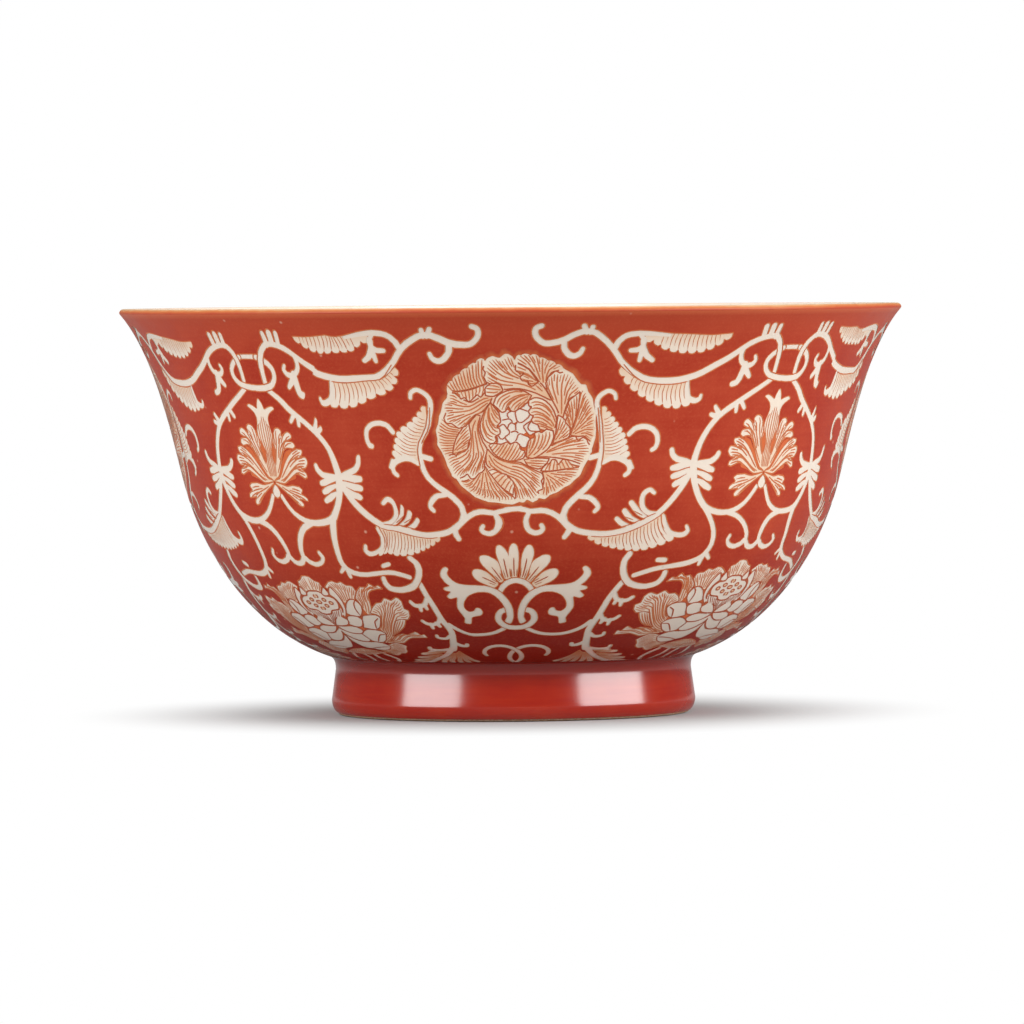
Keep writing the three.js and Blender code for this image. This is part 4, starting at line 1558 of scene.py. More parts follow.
def lotus_outside(sheet):
    lotus_petals(sheet, LOTUS_SIDE_PETALS, LOTUS_LAYER, "both")
    lotus_petals(sheet, LOTUS_MIDDLE_PETALS, LOTUS_MIDDLE_LAYER, "axis")


paint(lotus_outside)

# %% [markdown]
# The inner petals are left white on a deep orange ground, which shows as thin gaps between them.
# Some have a second line along the rim, where it is folded. Two short stems hold the flower from
# below.

# %% Inner petals of the lotus
LOTUS_GROUND_LAYER = LOTUS_LAYER + 8
LOTUS_INNER_LAYER = LOTUS_LAYER + 10
INNER_OUTLINE = 0.38
CREASE_LINE = 0.36
LOTUS_BEHIND = (
    "53.9,35.4 49.6,36 48.3,36.4 46.6,33.6 45.2,32.4 43.6,33.4 42.4,33.2 41.4,31.6 40.4,29 38.6,28.6 "
    "37.9,27.4 38.4,25.8 39.3,24.2 39.2,23 39,21.8 39.5,20.5 40.4,19 41.8,18 41.1,16 42.2,14 44,13.2 "
    "46.5,13.4 48.8,14.4 50.8,15 52.3,16.6 53.9,18.6"
)
# loop, and the line where its rim is folded
LOTUS_INNER_PETALS = (
    ("41.5,32 41.6,30.5 42.4,29.2 43.3,28.6 44.6,28.7 46,29 47,29.8 46.4,31 45.4,32.6 43.9,33.6 42.4,33.4",
     "42.5,33.3 43.2,32.4 43.4,31 43,29"),
    ("40.8,16.3 42.2,17.6 44.5,18.4 47,18.3 50,18.6 52,19.8 53.7,21.5 53.6,19 52.5,16.5 50.8,14.8 "
     "48.8,14.2 46.5,13.2 44,13 42.2,13.8 41.2,15", "41.3,15.8 43.5,15.6 46,15.1 48.8,14.2"),
    ("45.8,19.4 46.2,21.2 47.5,22 50,22.3 52.5,23.3 53.8,24.2 53.7,22.2 52.3,20.3 50.5,19 48.5,18.4 "
     "46.8,18.5", None),
    ("38.7,22 39.6,23.2 41.3,23.8 43.5,24 45.3,23.3 46.8,22 46.2,20.4 45.5,18.9 44,18.3 42,18.2 "
     "40.3,19.2 39.3,20.6",
     "39,21.8 40.8,21.7 42.2,20.3 43.5,18.5"),
    ("45.6,23.3 46.6,24.6 48.5,25.2 51,25 53.6,24.9 52.2,23.2 50.5,22.3 48.5,22 46.8,22.2", None),
    ("37.6,27.5 38.6,28.8 40.5,29.2 42.3,28.9 43.3,27.5 43.8,26 44.5,24.7 43,24.2 41.5,23.9 40.5,23.9 "
     "39.2,24.6 38.3,25.8",
     "38.3,27.7 39.6,26.8 40.2,25.3 40.5,24"),
    ("43.3,27.4 44.2,28.6 46,28.9 47.5,28.5 48.3,27.2 48.8,26 47.5,25.1 45.8,24.8 44.4,25.4", None),
    ("48.2,27.3 49.5,28.4 51,28.3 52.5,27.3 53.7,25.3 52,25.1 50,25.3 48.7,26", None),
    ("48.2,37.1 47,35.5 46.2,33 46.4,31 47.3,29.3 48.3,28.2 48.4,29.3 47.5,30.8 47.4,32.5 48,34 "
     "49.1,35.3", None),
    ("50.1,37.3 49.5,36.4 49.2,35.2 50.2,34.8 51.4,35.2 50.9,36.4", None),
)
LOTUS_STEMS = "46.5,9 44.8,6 44.3,3 46,-0.4", "51.5,8.6 51.8,5 51,2 50.3,-0.5"


def lotus_inside(sheet):
    sheet.mark(LOTUS_GROUND_LAYER, "deep", mirrored_loop(pts(at_lotus(LOTUS_BEHIND))), "axis")
    for layer, (loop, crease) in enumerate(LOTUS_INNER_PETALS, LOTUS_INNER_LAYER):
        loop = smooth(pts(at_lotus(loop)), closed=True)
        sheet.mark(layer, "white", loop)
        sheet.edged(loop, INNER_OUTLINE, layer + 0.5)
        if crease:
            sheet.line(smooth(pts(at_lotus(crease))), CREASE_LINE, layer + 0.6, tone="red")
    for path in LOTUS_STEMS:
        sheet.stem(at_lotus(path), [1.6, 1.8, 1.6], LEAF_LAYER)


paint(lotus_inside)

# %% [markdown]
# Seeds show in the flat top of the lotus pod, which stands on a cup of short ribs. The cup, the
# pod and the seeds each cover what was painted before them.

# %% Lotus pod
LOTUS_CUP_LAYER = LOTUS_LAYER + 22
LOTUS_POD_LAYER = LOTUS_LAYER + 23
LOTUS_SEED_LAYER = LOTUS_LAYER + 24
CUP_RIB_LINE = 0.24
POD_OUTLINE = 0.42
SEED_OUTLINE = 0.34
SEED_HALF_WIDTH = 0.62
SEED_HALF_HEIGHT = 0.46
LOTUS_CUP = "53.9,34 49.4,33 47.9,31 48.3,29.2 49.8,28.4 51.4,28.2 52.8,27.2 53.9,25.2"
LOTUS_POD = (
    "53.9,36.2 52.6,36.2 51.5,35.7 50.9,34.9 49.5,34.7 48.2,33.8 47.9,32.4 48.6,31 50,30.6 51.3,30.4 "
    "52.3,29.4 53.9,29.1"
)
LOTUS_RIBS = (
    "48.3,30.8 48.8,29.4 49.6,28.3", "49.2,30.5 49.7,29.4 50.3,28.4", "50,30.3 50.4,29.3 51,28.3",
    "50.8,30 51.3,28.8 52,27.8", "51.5,29.8 52.1,28.4 52.8,27.3", "52.4,29.3 52.9,27.9 53.3,26.8",
    "53.2,29 53.5,27.6 53.8,25.8",
)
LOTUS_SEEDS = "53.8,34.7 51.8,33.7 50,32.8 53.7,33 52,31.9 53.8,31.1 56.2,33.6 55.7,31.8 57.8,32.8"


def lotus_pod(sheet):
    sheet.mark(LOTUS_CUP_LAYER, "white", mirrored_loop(pts(at_lotus(LOTUS_CUP))), "axis")
    for path in LOTUS_RIBS:
        sheet.line(smooth(pts(at_lotus(path))), CUP_RIB_LINE, LOTUS_CUP_LAYER + 0.2, "axis", "red")
    pod = smooth(mirrored_loop(pts(at_lotus(LOTUS_POD)))[:-1], closed=True)
    sheet.mark(LOTUS_POD_LAYER, "white", pod, "axis")
    sheet.edged(pod, POD_OUTLINE, LOTUS_POD_LAYER + 0.5, "axis")
    for spot in pts(at_lotus(LOTUS_SEEDS)):
        turn = circle(0, 1, 10)
        seed = spot + SEED_HALF_WIDTH * turn.real + 1j * SEED_HALF_HEIGHT * turn.imag
        sheet.mark(LOTUS_SEED_LAYER, "wash", seed, "axis", root=seed[0], reach=9)
        sheet.edged(seed, SEED_OUTLINE, LOTUS_SEED_LAYER + 0.5, "axis")


paint(lotus_pod)

# %% [markdown]
# The peony faces the viewer on the front of the bowl. Its petals turn round the heart one behind
# the other, some with an edge folded back. It isn't mirrored, so each petal is listed one by one,
# from the ones at the back to the ones in front. A petal is its two sides, its tip and, where it
# has a wide foot, its base. A number of lobes makes its edge wavy.

# %% The peony's petals
PEONY_OUTLINE = (
    "-1.5,81.4 -2.7,80.7 -4,81 -5.2,80.2 -6.1,80.3 -6.9,79.5 -8.2,79.1 -9.2,78.1 -10.2,77.7 -11.1,77 "
    "-11.8,76 -12.5,75.2 -12.4,73.8 -13.4,72.6 -13.7,71.4 -14.3,70.2 -14.5,69 -15.1,67.6 -14.9,66.2 "
    "-15,64.9 -14.3,63.7 -13.7,62.3 -13.2,60.8 -12.6,59.5 -11.5,58.3 -10.7,57.1 -9.2,55.9 -8.2,55 "
    "-6.8,54.4 -5.3,53.9 -3.7,53.8 -2,53.5 -.5,53.4 .7,53.9 1.6,53.8 2.2,54.3 3.3,53.8 4.2,54.6 "
    "5.5,54.4 6.5,55.2 8,55.8 9,56.6 10.1,57.1 11,58 12,58.9 12.5,60.2 13.1,61.3 13.7,62.7 14.1,64.2 "
    "14.5,65.6 14.6,67.2 14.4,68.8 14.4,70.3 13.9,71.8 13.6,73.2 12.8,74.3 12.3,75.6 11.4,75.8 "
    "10.6,76.7 9.9,77.7 8.6,78.4 7.7,79.2 6.5,79.4 5.6,80.1 4.5,80.5 3.4,81 2,81.1 .7,81 0,80.3"
)
PEONY_PETALS = (
    # left side, right side, tip, base, lobes
    ("-12,74.8 -12.4,75.1", "-4.9,76.2 -5.5,77.5 -5.4,79 -5.3,80.1",
     "-12.4,75.1 -11.6,76.4 -10.3,77.4 -8.8,78.6 -7.3,79.5 -6,80.3 -5.3,80.1",
     "-12,74.8 -10,74.7 -7,75.4 -4.9,76.2", 5),
    ("-9.7,68.2 -11,68.4 -12.5,68.9 -14,70.4", "-12,63 -12.7,62.9 -13.7,62.4",
     "-14,70.4 -14.6,69 -15,67.2 -14.9,65.3 -14.5,63.8 -13.7,62.4", "-9.7,68.2 -11.2,66.2 -12,63", 5),
    ("-6.2,60.6 -8.3,58.8 -10,58 -11.4,58.2", "-5.9,60.8 -4.3,58.6 -2.2,56.2 -.2,54.7 -.2,53.6",
     "-11.4,58.2 -10.3,56.8 -8.9,55.6 -7.2,54.6 -5,54 -2.6,53.6 -.2,53.6", "-6.2,60.6 -5.9,60.8", 8),
    ("5,59.5 5.3,58.3 5.1,56.9 4.5,55.2", "5,59.6 8,59.9 10.5,60.3 12.6,60.3",
     "4.5,55.2 5.5,54.6 7.1,55.5 8.7,56.4 10.2,57.4 11.5,58.6 12.6,60.3", "5,59.5 5,59.6", 6),
    ("10,66.4 11.3,66.2 12.5,66.2 14,64.9", "10,66.6 10.6,69 11.1,72 11.4,74.6 12,75.6",
     "14,64.9 14.5,66.6 14.5,68.6 14.2,70.6 13.8,72.4 12.9,74.2 12,75.6", "10,66.4 10,66.6", 8),
    ("4.2,76.2 3.2,77.7 2.1,78.9 .2,79.9", "5.4,76 5.7,77 6.4,78 8.2,78.5",
     ".2,79.9 .8,81 2,81 3.1,81 4.4,80.4 5.7,79.9 6.9,79.4 8.2,78.5", "4.2,76.2 5.4,76", 6),
    ("6.2,72.9 3.2,74.4 .5,75.1 -2.2,75 -4.7,76.1 -5.2,76.3",
     "6.4,73 5.5,74.6 4.3,76.1 2.2,76.3 .8,77.5 .2,79 0,80.2",
     "-5.2,76.3 -5.6,77.2 -5.3,78 -5.7,78.7 -5.2,79.6 -5,80.5 -3.9,81 -2.8,80.5 -1.5,81.4 -.5,81 0,80.2",
     None, 0),
    ("4,76.2 3.1,77.6 2.1,78.8 .2,79.8", "4,76.2 3,75.5 2.3,75.9",
     ".2,79.8 .1,78.5 .8,77.9 1.5,77.8 .9,77.2 1.3,76.5 2.2,76.4 2.3,75.9", None, 0),
    ("8.5,69.8 9,71.8 9.6,73.2 10.6,73.7 11.2,74.2", "7.9,69.6 7.4,71.3 6.5,72.9 5.6,74.5 5.3,76",
     "11.2,74.2 11.3,75.3 10.5,76.2 10.1,77.3 8.8,78.1 7.8,77.8 7,78.2 6.2,77.6 5.6,77 5.3,76", None, 0),
    ("6.8,64.9 8.2,65.4 9.2,65.8 9.8,66.3", "6.8,65.1 7.3,66.8 7.4,68.5 7.6,70.2",
     "9.8,66.3 9.9,67.6 9.2,68.6 8.6,69.6 7.6,70.2", None, 0),
    ("10.1,67.4 9.9,67.9 9.4,68.3", "10.1,67.4 10.9,70 11.2,72 11.3,74.4",
     "9.4,68.3 8.9,69 9.3,69.9 8.8,70.7 9.3,71.8 9.4,72.7 10.2,73.5 11.3,74.4", None, 0),
    ("2.3,60.8 4,60.2 4.9,60.4", "1.6,62 4,62.3 6.2,62.1", "4.9,60.4 5.8,61.3 6.2,62.1", None, 0),
    ("2,62.1 5,62.5 8,62.2 10,61.8 12.4,60.9", "2,62.3 4,62.7 5.5,63.8 6.8,64.8 8.3,65.4 9.8,66.1",
     "12.4,60.9 13.2,61.5 13,62.2 13.9,63 14,64 13.3,64.8 13,65.6 12.2,66 11.4,65.4 10.9,66.2 9.8,66.1",
     None, 0),
    ("4.6,59.8 5,60.4 5.7,61.1", "12.3,60.5 11.4,60.7 10.6,60.9",
     "5.7,61.1 6.3,61.2 6.7,61.9 7.5,61.8 7.9,61 8.6,61.9 9.6,61.8 10.1,61.1 10.6,60.9",
     "4.6,59.8 7,59.8 9,60.1 12.3,60.5", 0),
    ("-5.6,63.8 -5.6,61.3 -4.6,60.3 -3,59.4 -1.4,58.9 -.4,57.5 -.1,56 .1,54.6",
     "-5.3,64 -3.7,62.5 -1.5,61.7 .8,61.5 2.1,60.8 3.5,60 4.9,59.4",
     ".1,54.6 .7,53.9 1.6,53.8 2.2,54.4 3.2,53.9 4.2,54.3 4.5,55.2 4.2,55.9 5.1,56.4 5,57.4 4.8,57.9 "
     "5.2,58.6 4.9,59.4", None, 0),
    ("-.5,55.2 -.4,56.2 -.1,57", "-5.3,59.9 -4.4,60.2 -3.7,60",
     "-.1,57 -.5,58 -1.3,58.5 -1.7,59.2 -2.6,59.3 -3.7,60", "-.5,55.2 -3,57 -5.3,59.9", 0),
    ("-7.2,70.4 -8.7,68.6 -8.5,66.3 -9.1,64.2 -10.8,63.2 -12.5,63 -13.7,62.4",
     "-6.5,70.2 -6.9,67.8 -6.3,65.6 -5.4,64 -5.9,62 -6,60.2", "-13.7,62.4 -13.2,60.7 -12.6,60 -12.5,59 "
     "-11.4,58.4 -10.2,58.8 -9.4,59.3 -8.8,58.5 -8,58.5 -7.2,59.4 -6.6,59.6 -6,60.2", None, 0),
    ("-12.1,63.2 -11.9,64.4 -11.2,66.2 -10,67.9 -8.8,69.1", "-12.1,63.2 -11.4,62.9 -10.8,63.5",
     "-8.8,69.1 -8.5,67.4 -8.4,66.2 -8.9,65.3 -9.1,64.2 -10,63.5 -10.8,63.5", None, 0),
    ("-4,73.8 -5.8,73.9 -8,72.7 -9.7,73.2 -11,74.3 -12.3,74.7", "-4.6,72.5 -5.9,71 -7.5,70.3 -9.3,68.3",
     "-12.3,74.7 -12.6,73.7 -12.4,72.9 -13.5,72.3 -13.6,71.2 -13,70.7 -13.4,69.8 -13,68.9 -12,68.8 "
     "-11.5,68.4 -10.6,67.9 -9.3,68.3", None, 0),
    ("-5,76 -5.1,75.2 -5.7,74.2", "-12.1,74.7 -11.6,74.4 -10.9,74.3",
     "-5.7,74.2 -6.3,73.6 -7,74 -7.7,73.2 -8.6,72.8 -9.2,73.5 -10,73.3 -10.3,74.1 -10.9,74.3",
     "-5,76 -6.8,75.4 -8.3,74.9 -10,74.6 -12.1,74.7", 0),
    ("-2.2,74.7 -3.6,73.8 -4.6,73.7 -5.4,73.9", "-2.2,74.9 -2.6,75.7 -3.4,76.1 -4.4,76",
     "-5.4,73.9 -5.5,74.9 -5.1,75.6 -4.4,76", None, 0),
    ("-4.5,72.6 -5.9,70.6 -6.6,68.2 -6,66 -4.9,65.1 -4,65.1", "-4.5,72.6 -3.7,71.6 -3,70.7",
     "-4,65.1 -3.6,65.6 -3.8,66.3 -2.9,66.8 -2.9,67.7 -3.4,68.2 -2.7,69 -2.9,69.8 -3,70.7", None, 0),
    ("2.8,73.6 2.3,72.7 1.4,71.8", "2.9,73.8 1.6,74.6 -.2,74.9 -2,74.5 -3.4,73.6 -4,72.2",
     "1.4,71.8 .5,71.3 -.1,70.9 -.8,71.1 -1.2,71.8 -1.7,71 -2.5,70.8 -3,71.4 -4,72.2", None, 0),
    ("7.1,67.8 7.4,69.3 6.6,71.4 5.2,72.9 3.6,73.4 2.4,72.9", "6.6,67.5 5.6,67.3 4.4,67.6",
     "2.4,72.9 2.4,72 2.9,71.7 2.4,71 2.7,70.3 3.3,70.1 2.9,69.4 3.2,68.8 4,68.5 4.4,67.6", None, 0),
    ("2,62.6 2.1,64 2.4,65.4", "2,62.5 3.2,62.2 4.8,63 6.2,64.3 6.9,66 6.8,67.3",
     "2.4,65.4 2.8,65.9 3.4,66.1 3.5,66.9 4.2,67.2 4.8,67 5.5,67.6 6.2,67.5 6.8,67.3", None, 0),
    (".9,62 1.5,62.3 1.8,62.9", "-5,64.7 -4.6,65",
     "1.8,62.9 1.7,63.6 1,63.9 .8,64.8 0,65.3 -.9,64.9 -1.5,65.3 -2.5,64.9 -3.6,65.1 -4.6,65",
     ".9,62 -1,61.7 -2.7,62.2 -4.2,63.3 -5,64.7", 0),
)


print("the peony has", len(PEONY_PETALS), "petals")

# %% [markdown]
# The heart is a bunch of small crumpled petals on a deep orange ground. It covers the petals
# behind it, and the last few petals cover its edge.

# %% The peony's heart
HEART_MIDDLE = 0.2 + 68.3j
HEART_RADIUS = 5.0
CRUMPLED_RADIUS = 1.22
HEART_PLACES = (
    "-1.8,70.2 -.1,70.1 1.6,71.2 1.9,69.5 -1.7,68.4 -.4,67.5 1.2,67.8 2.9,67.9 3.6,68.3 -2.3,66 "
    "-.5,66.1 1.3,65.5 1.2,70.2 -2.4,67.2"
)


def crumpled(place, radius, turn):
    """A small crumpled petal, with three or four bulges."""
    way = 2 * pi * np.arange(20) / 20
    return place + radius * (1 + 0.14 * np.cos((3 + turn % 2) * way + turn)) * np.exp(1j * way)


def peony_heart(sheet, layer):
    sheet.mark(layer, "deep", circle(HEART_MIDDLE, HEART_RADIUS, 24), "once")
    for turn, place in enumerate(pts(HEART_PLACES)):
        own_layer = layer + 0.01 + turn * 0.02
        loop = crumpled(place, CRUMPLED_RADIUS, turn)
        sheet.mark(own_layer, "white", loop, "once")
        sheet.edged(loop, OUTLINE * 0.9, own_layer + 0.01, "once")


print("the heart has", len(pts(HEART_PLACES)), "small petals")

# %% [markdown]
# The whole flower gets one halo and, under everything else, a wider glow, where the coral was
# painted round it more thinly. Its lines are kept inside the rim.

# %% Peony
PEONY_MIDDLE = 0.3 + 68.3j
PEONY_WASH_REACH = 15.0
PEONY_RIM = -0.6
PEONY_GLOW = 1.1
PEONY_HALO = 0.25
GLOW_REACH = 1.4
PETALS_BEHIND_HEART = 21


def peony(sheet):
    outline = smooth(pts(PEONY_OUTLINE), closed=True)
    rim = grown(outline, PEONY_RIM)
    sheet.mark(GLOW_LAYER, "halo", grown(outline, PEONY_GLOW), "once", root=rim, reach=GLOW_REACH)
    sheet.mark(HALO_LAYER, "halo", grown(outline, PEONY_HALO), "once", root=rim, reach=GLOW_REACH)
    sheet.mark(PEONY_LAYER, "wash", outline, "once", root=PEONY_MIDDLE, reach=PEONY_WASH_REACH)
    for number, (left, right, tip, base, lobes) in enumerate(PEONY_PETALS, 1):
        petal(sheet, left, right, tip, PEONY_LAYER + number, "once", base, lobes=lobes, within=rim)
    peony_heart(sheet, PEONY_LAYER + PETALS_BEHIND_HEART + 0.6)


paint(peony)

# %% [markdown]
# The flat sheet keeps every angle, so where the bowl is narrower than at the waist the sheet is
# stretched in height by as much as in width. A millimetre of wall takes more than a millimetre of
# sheet near the foot and less near the lip, and the sheet's height is the sum.

# %% The sheet's height
wall_line = coat_face[wall_index:]
wall_run = np.concatenate([[0], np.cumsum(np.linalg.norm(np.diff(wall_line, axis=0), axis=1))])
mean_radius = (wall_line[1:, 0] + wall_line[:-1, 0]) / 2
sheet_rows = np.concatenate([[0], np.cumsum(np.diff(wall_run) * WAIST_RADIUS / mean_radius)])
SHEET_HEIGHT = sheet_rows[-1]
print("the wall is", round(wall_run[-1], 1), "mm up its slope and", round(SHEET_HEIGHT, 1), "on the sheet")

# %% [markdown]
# Between the marks the coral needs corners of its own, or its triangles would be too long to bend
# smoothly round the bowl. A loose grid gives them. Every other row is moved by half a step, which
# makes the triangles nearly even, but its ends stay on the sheet's edges, where two sheets meet.

# %% A loose grid
GRID_STEP = 1.35
columns = int(round(HALF_SHEET / GRID_STEP)) * 2
levels = int(round(SHEET_HEIGHT / GRID_STEP))
across = np.linspace(-HALF_SHEET, HALF_SHEET, columns + 1)
upward = np.linspace(0, SHEET_HEIGHT, levels + 1)
grid = across[None, :] + 1j * upward[:, None]
half_step = np.zeros(columns + 1)
half_step[1:-2] = GRID_STEP / 2
grid[1::2] += half_step
border = np.concatenate([grid[0], grid[1:-1, -1], grid[-1, ::-1], grid[-2:0:-1, 0]])
print("a grid of", columns, "by", levels, "steps")

# %% [markdown]
# Coral and reserves are one map. The outlines of all areas and the grid are triangulated together,
# so that each triangle lies wholly inside or outside every area.

# %% The sheet cut up
COATS = {"halo": "edge", "white": "open", "leaf": "leaf", "wash": "wash", "deep": "deep"}
SAME_PLACE = 1e-4


def ring_edges(first, count):
    """The edges of a closed ring of corners, from the number of its first corner."""
    return [(first + i, first + (i + 1) % count) for i in range(count)]


marks = sorted(sheet.marks, key=lambda mark: mark["layer"])
areas = [mark for mark in marks if mark["kind"] in COATS]
rings = [border, *(area["points"] for area in areas)]
edges = []
corner_count = 0
for ring in rings:
    edges += ring_edges(corner_count, len(ring))
    corner_count += len(ring)
places = np.concatenate([*rings, grid[1:-1, 1:-1].ravel()])
cut = delaunay_2d_cdt([(p.real, p.imag) for p in places], edges, [], 0, SAME_PLACE, False)
corners = np.array([complex(*corner) for corner in cut[0]])
triangles = np.array([face for face in cut[2] if len(face) == 3])
middles = corners[triangles].mean(1)
on_sheet = (np.abs(middles.real) < HALF_SHEET) & (middles.imag > 0) & (middles.imag < SHEET_HEIGHT)
triangles, middles = triangles[on_sheet], middles[on_sheet]
print(len(areas), "areas cut the sheet into", len(triangles), "triangles")

# %% [markdown]
# Each triangle takes the coat of the last area painted over its middle, and keeps that area's number
# for its shading. A triangle that no area covers is coral, and an open one is left to the glaze.

# %% Coats
coat = np.full(len(triangles), "coral")
painted = np.full(len(triangles), -1)
for number, area in enumerate(areas):
    found = inside(area["points"], middles)
    coat[found] = COATS[area["kind"]]
    painted[found] = number
print({str(name): int((coat == name).sum()) for name in np.unique(coat)})

# %% [markdown]
# A brush line shows only where no later area covers it, as with petals that lie behind others. Each
# line is given enough points to tell where it goes under, and is then cut into its seen stretches.

# %% Seen stretches of a line
LINE_STEP = 0.6


def finer(line, gap):
    """The same line with more points on its long stretches."""
    out = [line[:1]]
    for a, b in zip(line, line[1:]):
        out.append(np.linspace(a, b, int(abs(b - a) / gap) + 2)[1:])
    return np.concatenate(out)


def covered(mark, line, later_marks):
    """Which points of a line are off the sheet, outside its own loop or painted over."""
    hidden = (np.abs(line.real) > HALF_SHEET) | (line.imag < 0) | (line.imag > SHEET_HEIGHT)
    if mark["within"] is not None:
        hidden |= ~inside(mark["within"], line)
    for later in later_marks:
        if later["kind"] in COATS and later["layer"] > mark["layer"]:
            loop = later["points"]
            if loop.real.min() < line.real.max() and loop.real.max() > line.real.min():
                hidden |= inside(loop, line)
    return hidden


def seen_runs(line, hidden):
    """The stretches of a line that aren't hidden."""
    runs, run = [], []
    for point, gone in zip(line, hidden):
        if not gone:
            run.append(point)
        elif run:
            runs.append(run)
            run = []
    runs.append(run)
    return [np.array(run) for run in runs if len(run) > 1]


print(len(marks) - len(areas), "brush lines are tested")

# %% [markdown]
# A seen stretch becomes a narrow ribbon. It is a little thinner where the brush was set down, and
# much thinner where it was lifted.

# %% Brush lines as ribbons
SHORTEST_LINE = 0.9
RIBBON_BEND = 0.2
RIBBON_GAP = 1.3
LINE_START = 0.75
LINE_TIP = 0.35


def ribbon(run, width, closed):
    """The two sides of a ribbon, taken in turn from point to point."""
    taper = np.ones(len(run))
    if not closed:
        taper[0], taper[-1] = LINE_START, LINE_TIP
    half = sideways(run) * width / 2 * taper
    return np.stack([run - half, run + half], -1).ravel()


def add_ribbons(mark, later_marks, spots, faces):
    """Adds a ribbon for each stretch of a line that shows."""
    line = finer(mark["points"], LINE_STEP)
    closed = abs(line[0] - line[-1]) < SAME_PLACE
    for run in seen_runs(line, covered(mark, line, later_marks)):
        if run_along(run)[-1] >= SHORTEST_LINE:
            run = thinned(run, RIBBON_BEND, RIBBON_GAP)
            first = len(spots)
            spots.extend(ribbon(run, mark["width"], closed))
            faces.extend((i, i + 2, i + 3, i + 1) for i in range(first, len(spots) - 2, 2))


ribbons = {"ochre": ([], []), "red": ([], [])}
for number, mark in enumerate(marks):
    if mark["kind"] in ribbons:
        add_ribbons(mark, marks[number + 1 :], *ribbons[mark["kind"]])
print({tone: len(faces) for tone, (spots, faces) in ribbons.items()}, "ribbon faces")

# %% [markdown]
# The sheet goes round the bowl four times. Each place holds the turn of its middle and the width of
# its two halves in degrees. It also holds how far the lotus and the small flower on either side of it
# drifted, because the real ones were spaced by eye. Neighbours share a drift, so their halves meet.

# %% Places of the four sheets
PLACES = (
    # middle, left half, right half, drift of the left lotus, right lotus, left and right small flower
    (0.6, 44.5, 47.4, (-0.6, -2.6), (1.9, 0.0), (-0.7, -1.0), (0.0, 0.0)),
    (93.6, 45.6, 43.2, (1.9, 0.0), (0.6, 0.4), (0.0, 0.0), (0.5, 0.3)),
    (182.3, 45.5, 44.6, (0.6, 0.4), (-0.5, -0.2), (0.5, 0.3), (-0.4, 0.5)),
    (271.5, 44.6, 44.6, (-0.5, -0.2), (-0.6, -2.6), (-0.4, 0.5), (-0.7, -1.0)),
)
ANGLE_NAMES = ("middle", "left_half", "right_half")
DRIFT_NAMES = ("lotus_left", "lotus_right", "flower_left", "flower_right")


def places_object():
    """One point for each sheet, which carries its measures as attributes."""
    mesh = bpy.data.meshes.new("sheet_places")
    mesh.from_pydata([(0, 0, 0)] * len(PLACES), [], [])
    for column, name in enumerate(ANGLE_NAMES):
        angles = [radians(place[column]) for place in PLACES]
        mesh.attributes.new(name, "FLOAT", "POINT").data.foreach_set("value", angles)
    for column, name in enumerate(DRIFT_NAMES, len(ANGLE_NAMES)):
        drifts = [part * MM for place in PLACES for part in (*place[column], 0)]
        mesh.attributes.new(name, "FLOAT_VECTOR", "POINT").data.foreach_set("vector", drifts)
    holder = bpy.data.objects.new("sheet_places", mesh)
    bpy.context.scene.collection.objects.link(holder)
    return holder


sheet_places = places_object()
print("sheets stand at", ", ".join(str(place[0]) for place in PLACES), "degrees")

# %% [markdown]
# The drift of the flowers is worked out point by point by the second tree. Low on the sheet the
# lotus's drift counts, and above it the small flower's, with a soft step between. It grows from
# nothing at the peony to its full amount at the flowers, and dies out at the foot and at the lip.

# %% Drift of the flowers
DRIFT_STARTS = 24
DRIFT_IS_FULL = 40
LOTUS_TOP = 33
FLOWER_FOOT = 41
STILL_BAND_AT_FOOT = 10
MOVES_BELOW = 76
STILL_ABOVE = 80


def sheet_measures(nodes, names, kind):
    """Measures of the sheet that a point belongs to, read by their names."""
    read = "GeometryNodeInputNamedAttribute"
    return [nodes.add(read, {"Name": name}, data_type=kind) for name in names]


def share(value, start, stop):
    """0 at one measure and 1 at another, with a soft step between."""
    inputs = {"Value": value, "From Min": start * MM, "From Max": stop * MM}
    return value.nodes.add("ShaderNodeMapRange", inputs, interpolation_type="SMOOTHSTEP")


def blend(factor, low, high):
    inputs = {0: factor, 4: low, 5: high}
    return factor.nodes.add("ShaderNodeMix", inputs, out=1, data_type="VECTOR")


def drift_at(nodes, x, y):
    """How far the painter strayed here, from the four drifts of this sheet."""
    sides = sheet_measures(nodes, DRIFT_NAMES, "FLOAT_VECTOR")
    on_right = x > 0
    lotus_drift, flower_drift = blend(on_right, *sides[:2]), blend(on_right, *sides[2:])
    drift_x, drift_y, _ = blend(share(y, LOTUS_TOP, FLOWER_FOOT), lotus_drift, flower_drift).xyz()
    far_side = share(x.math("ABSOLUTE", x), DRIFT_STARTS, DRIFT_IS_FULL)
    above_foot = y.math("MINIMUM", y / (STILL_BAND_AT_FOOT * MM), 1.0)
    return drift_x * far_side, drift_y * far_side * above_foot * share(y, STILL_ABOVE, MOVES_BELOW)


print("flowers drift from", DRIFT_STARTS, "mm off the peony's axis, and fully from", DRIFT_IS_FULL)

# %% [markdown]
# The second tree wraps the sheet. It puts an instance on each place, and a point's x then gives its
# turn and its y its run up the wall, which is looked up on the wall's own line. The point is moved
# out or in along the wall's normal by its depth, and the seams are merged.

# %% Wrapping tree
WRAP_INPUTS = {"Places": "Object", "Wall": "Object", "Half sheet": "Float", "Material": "Material"}
SEAM_MERGE = 0.002


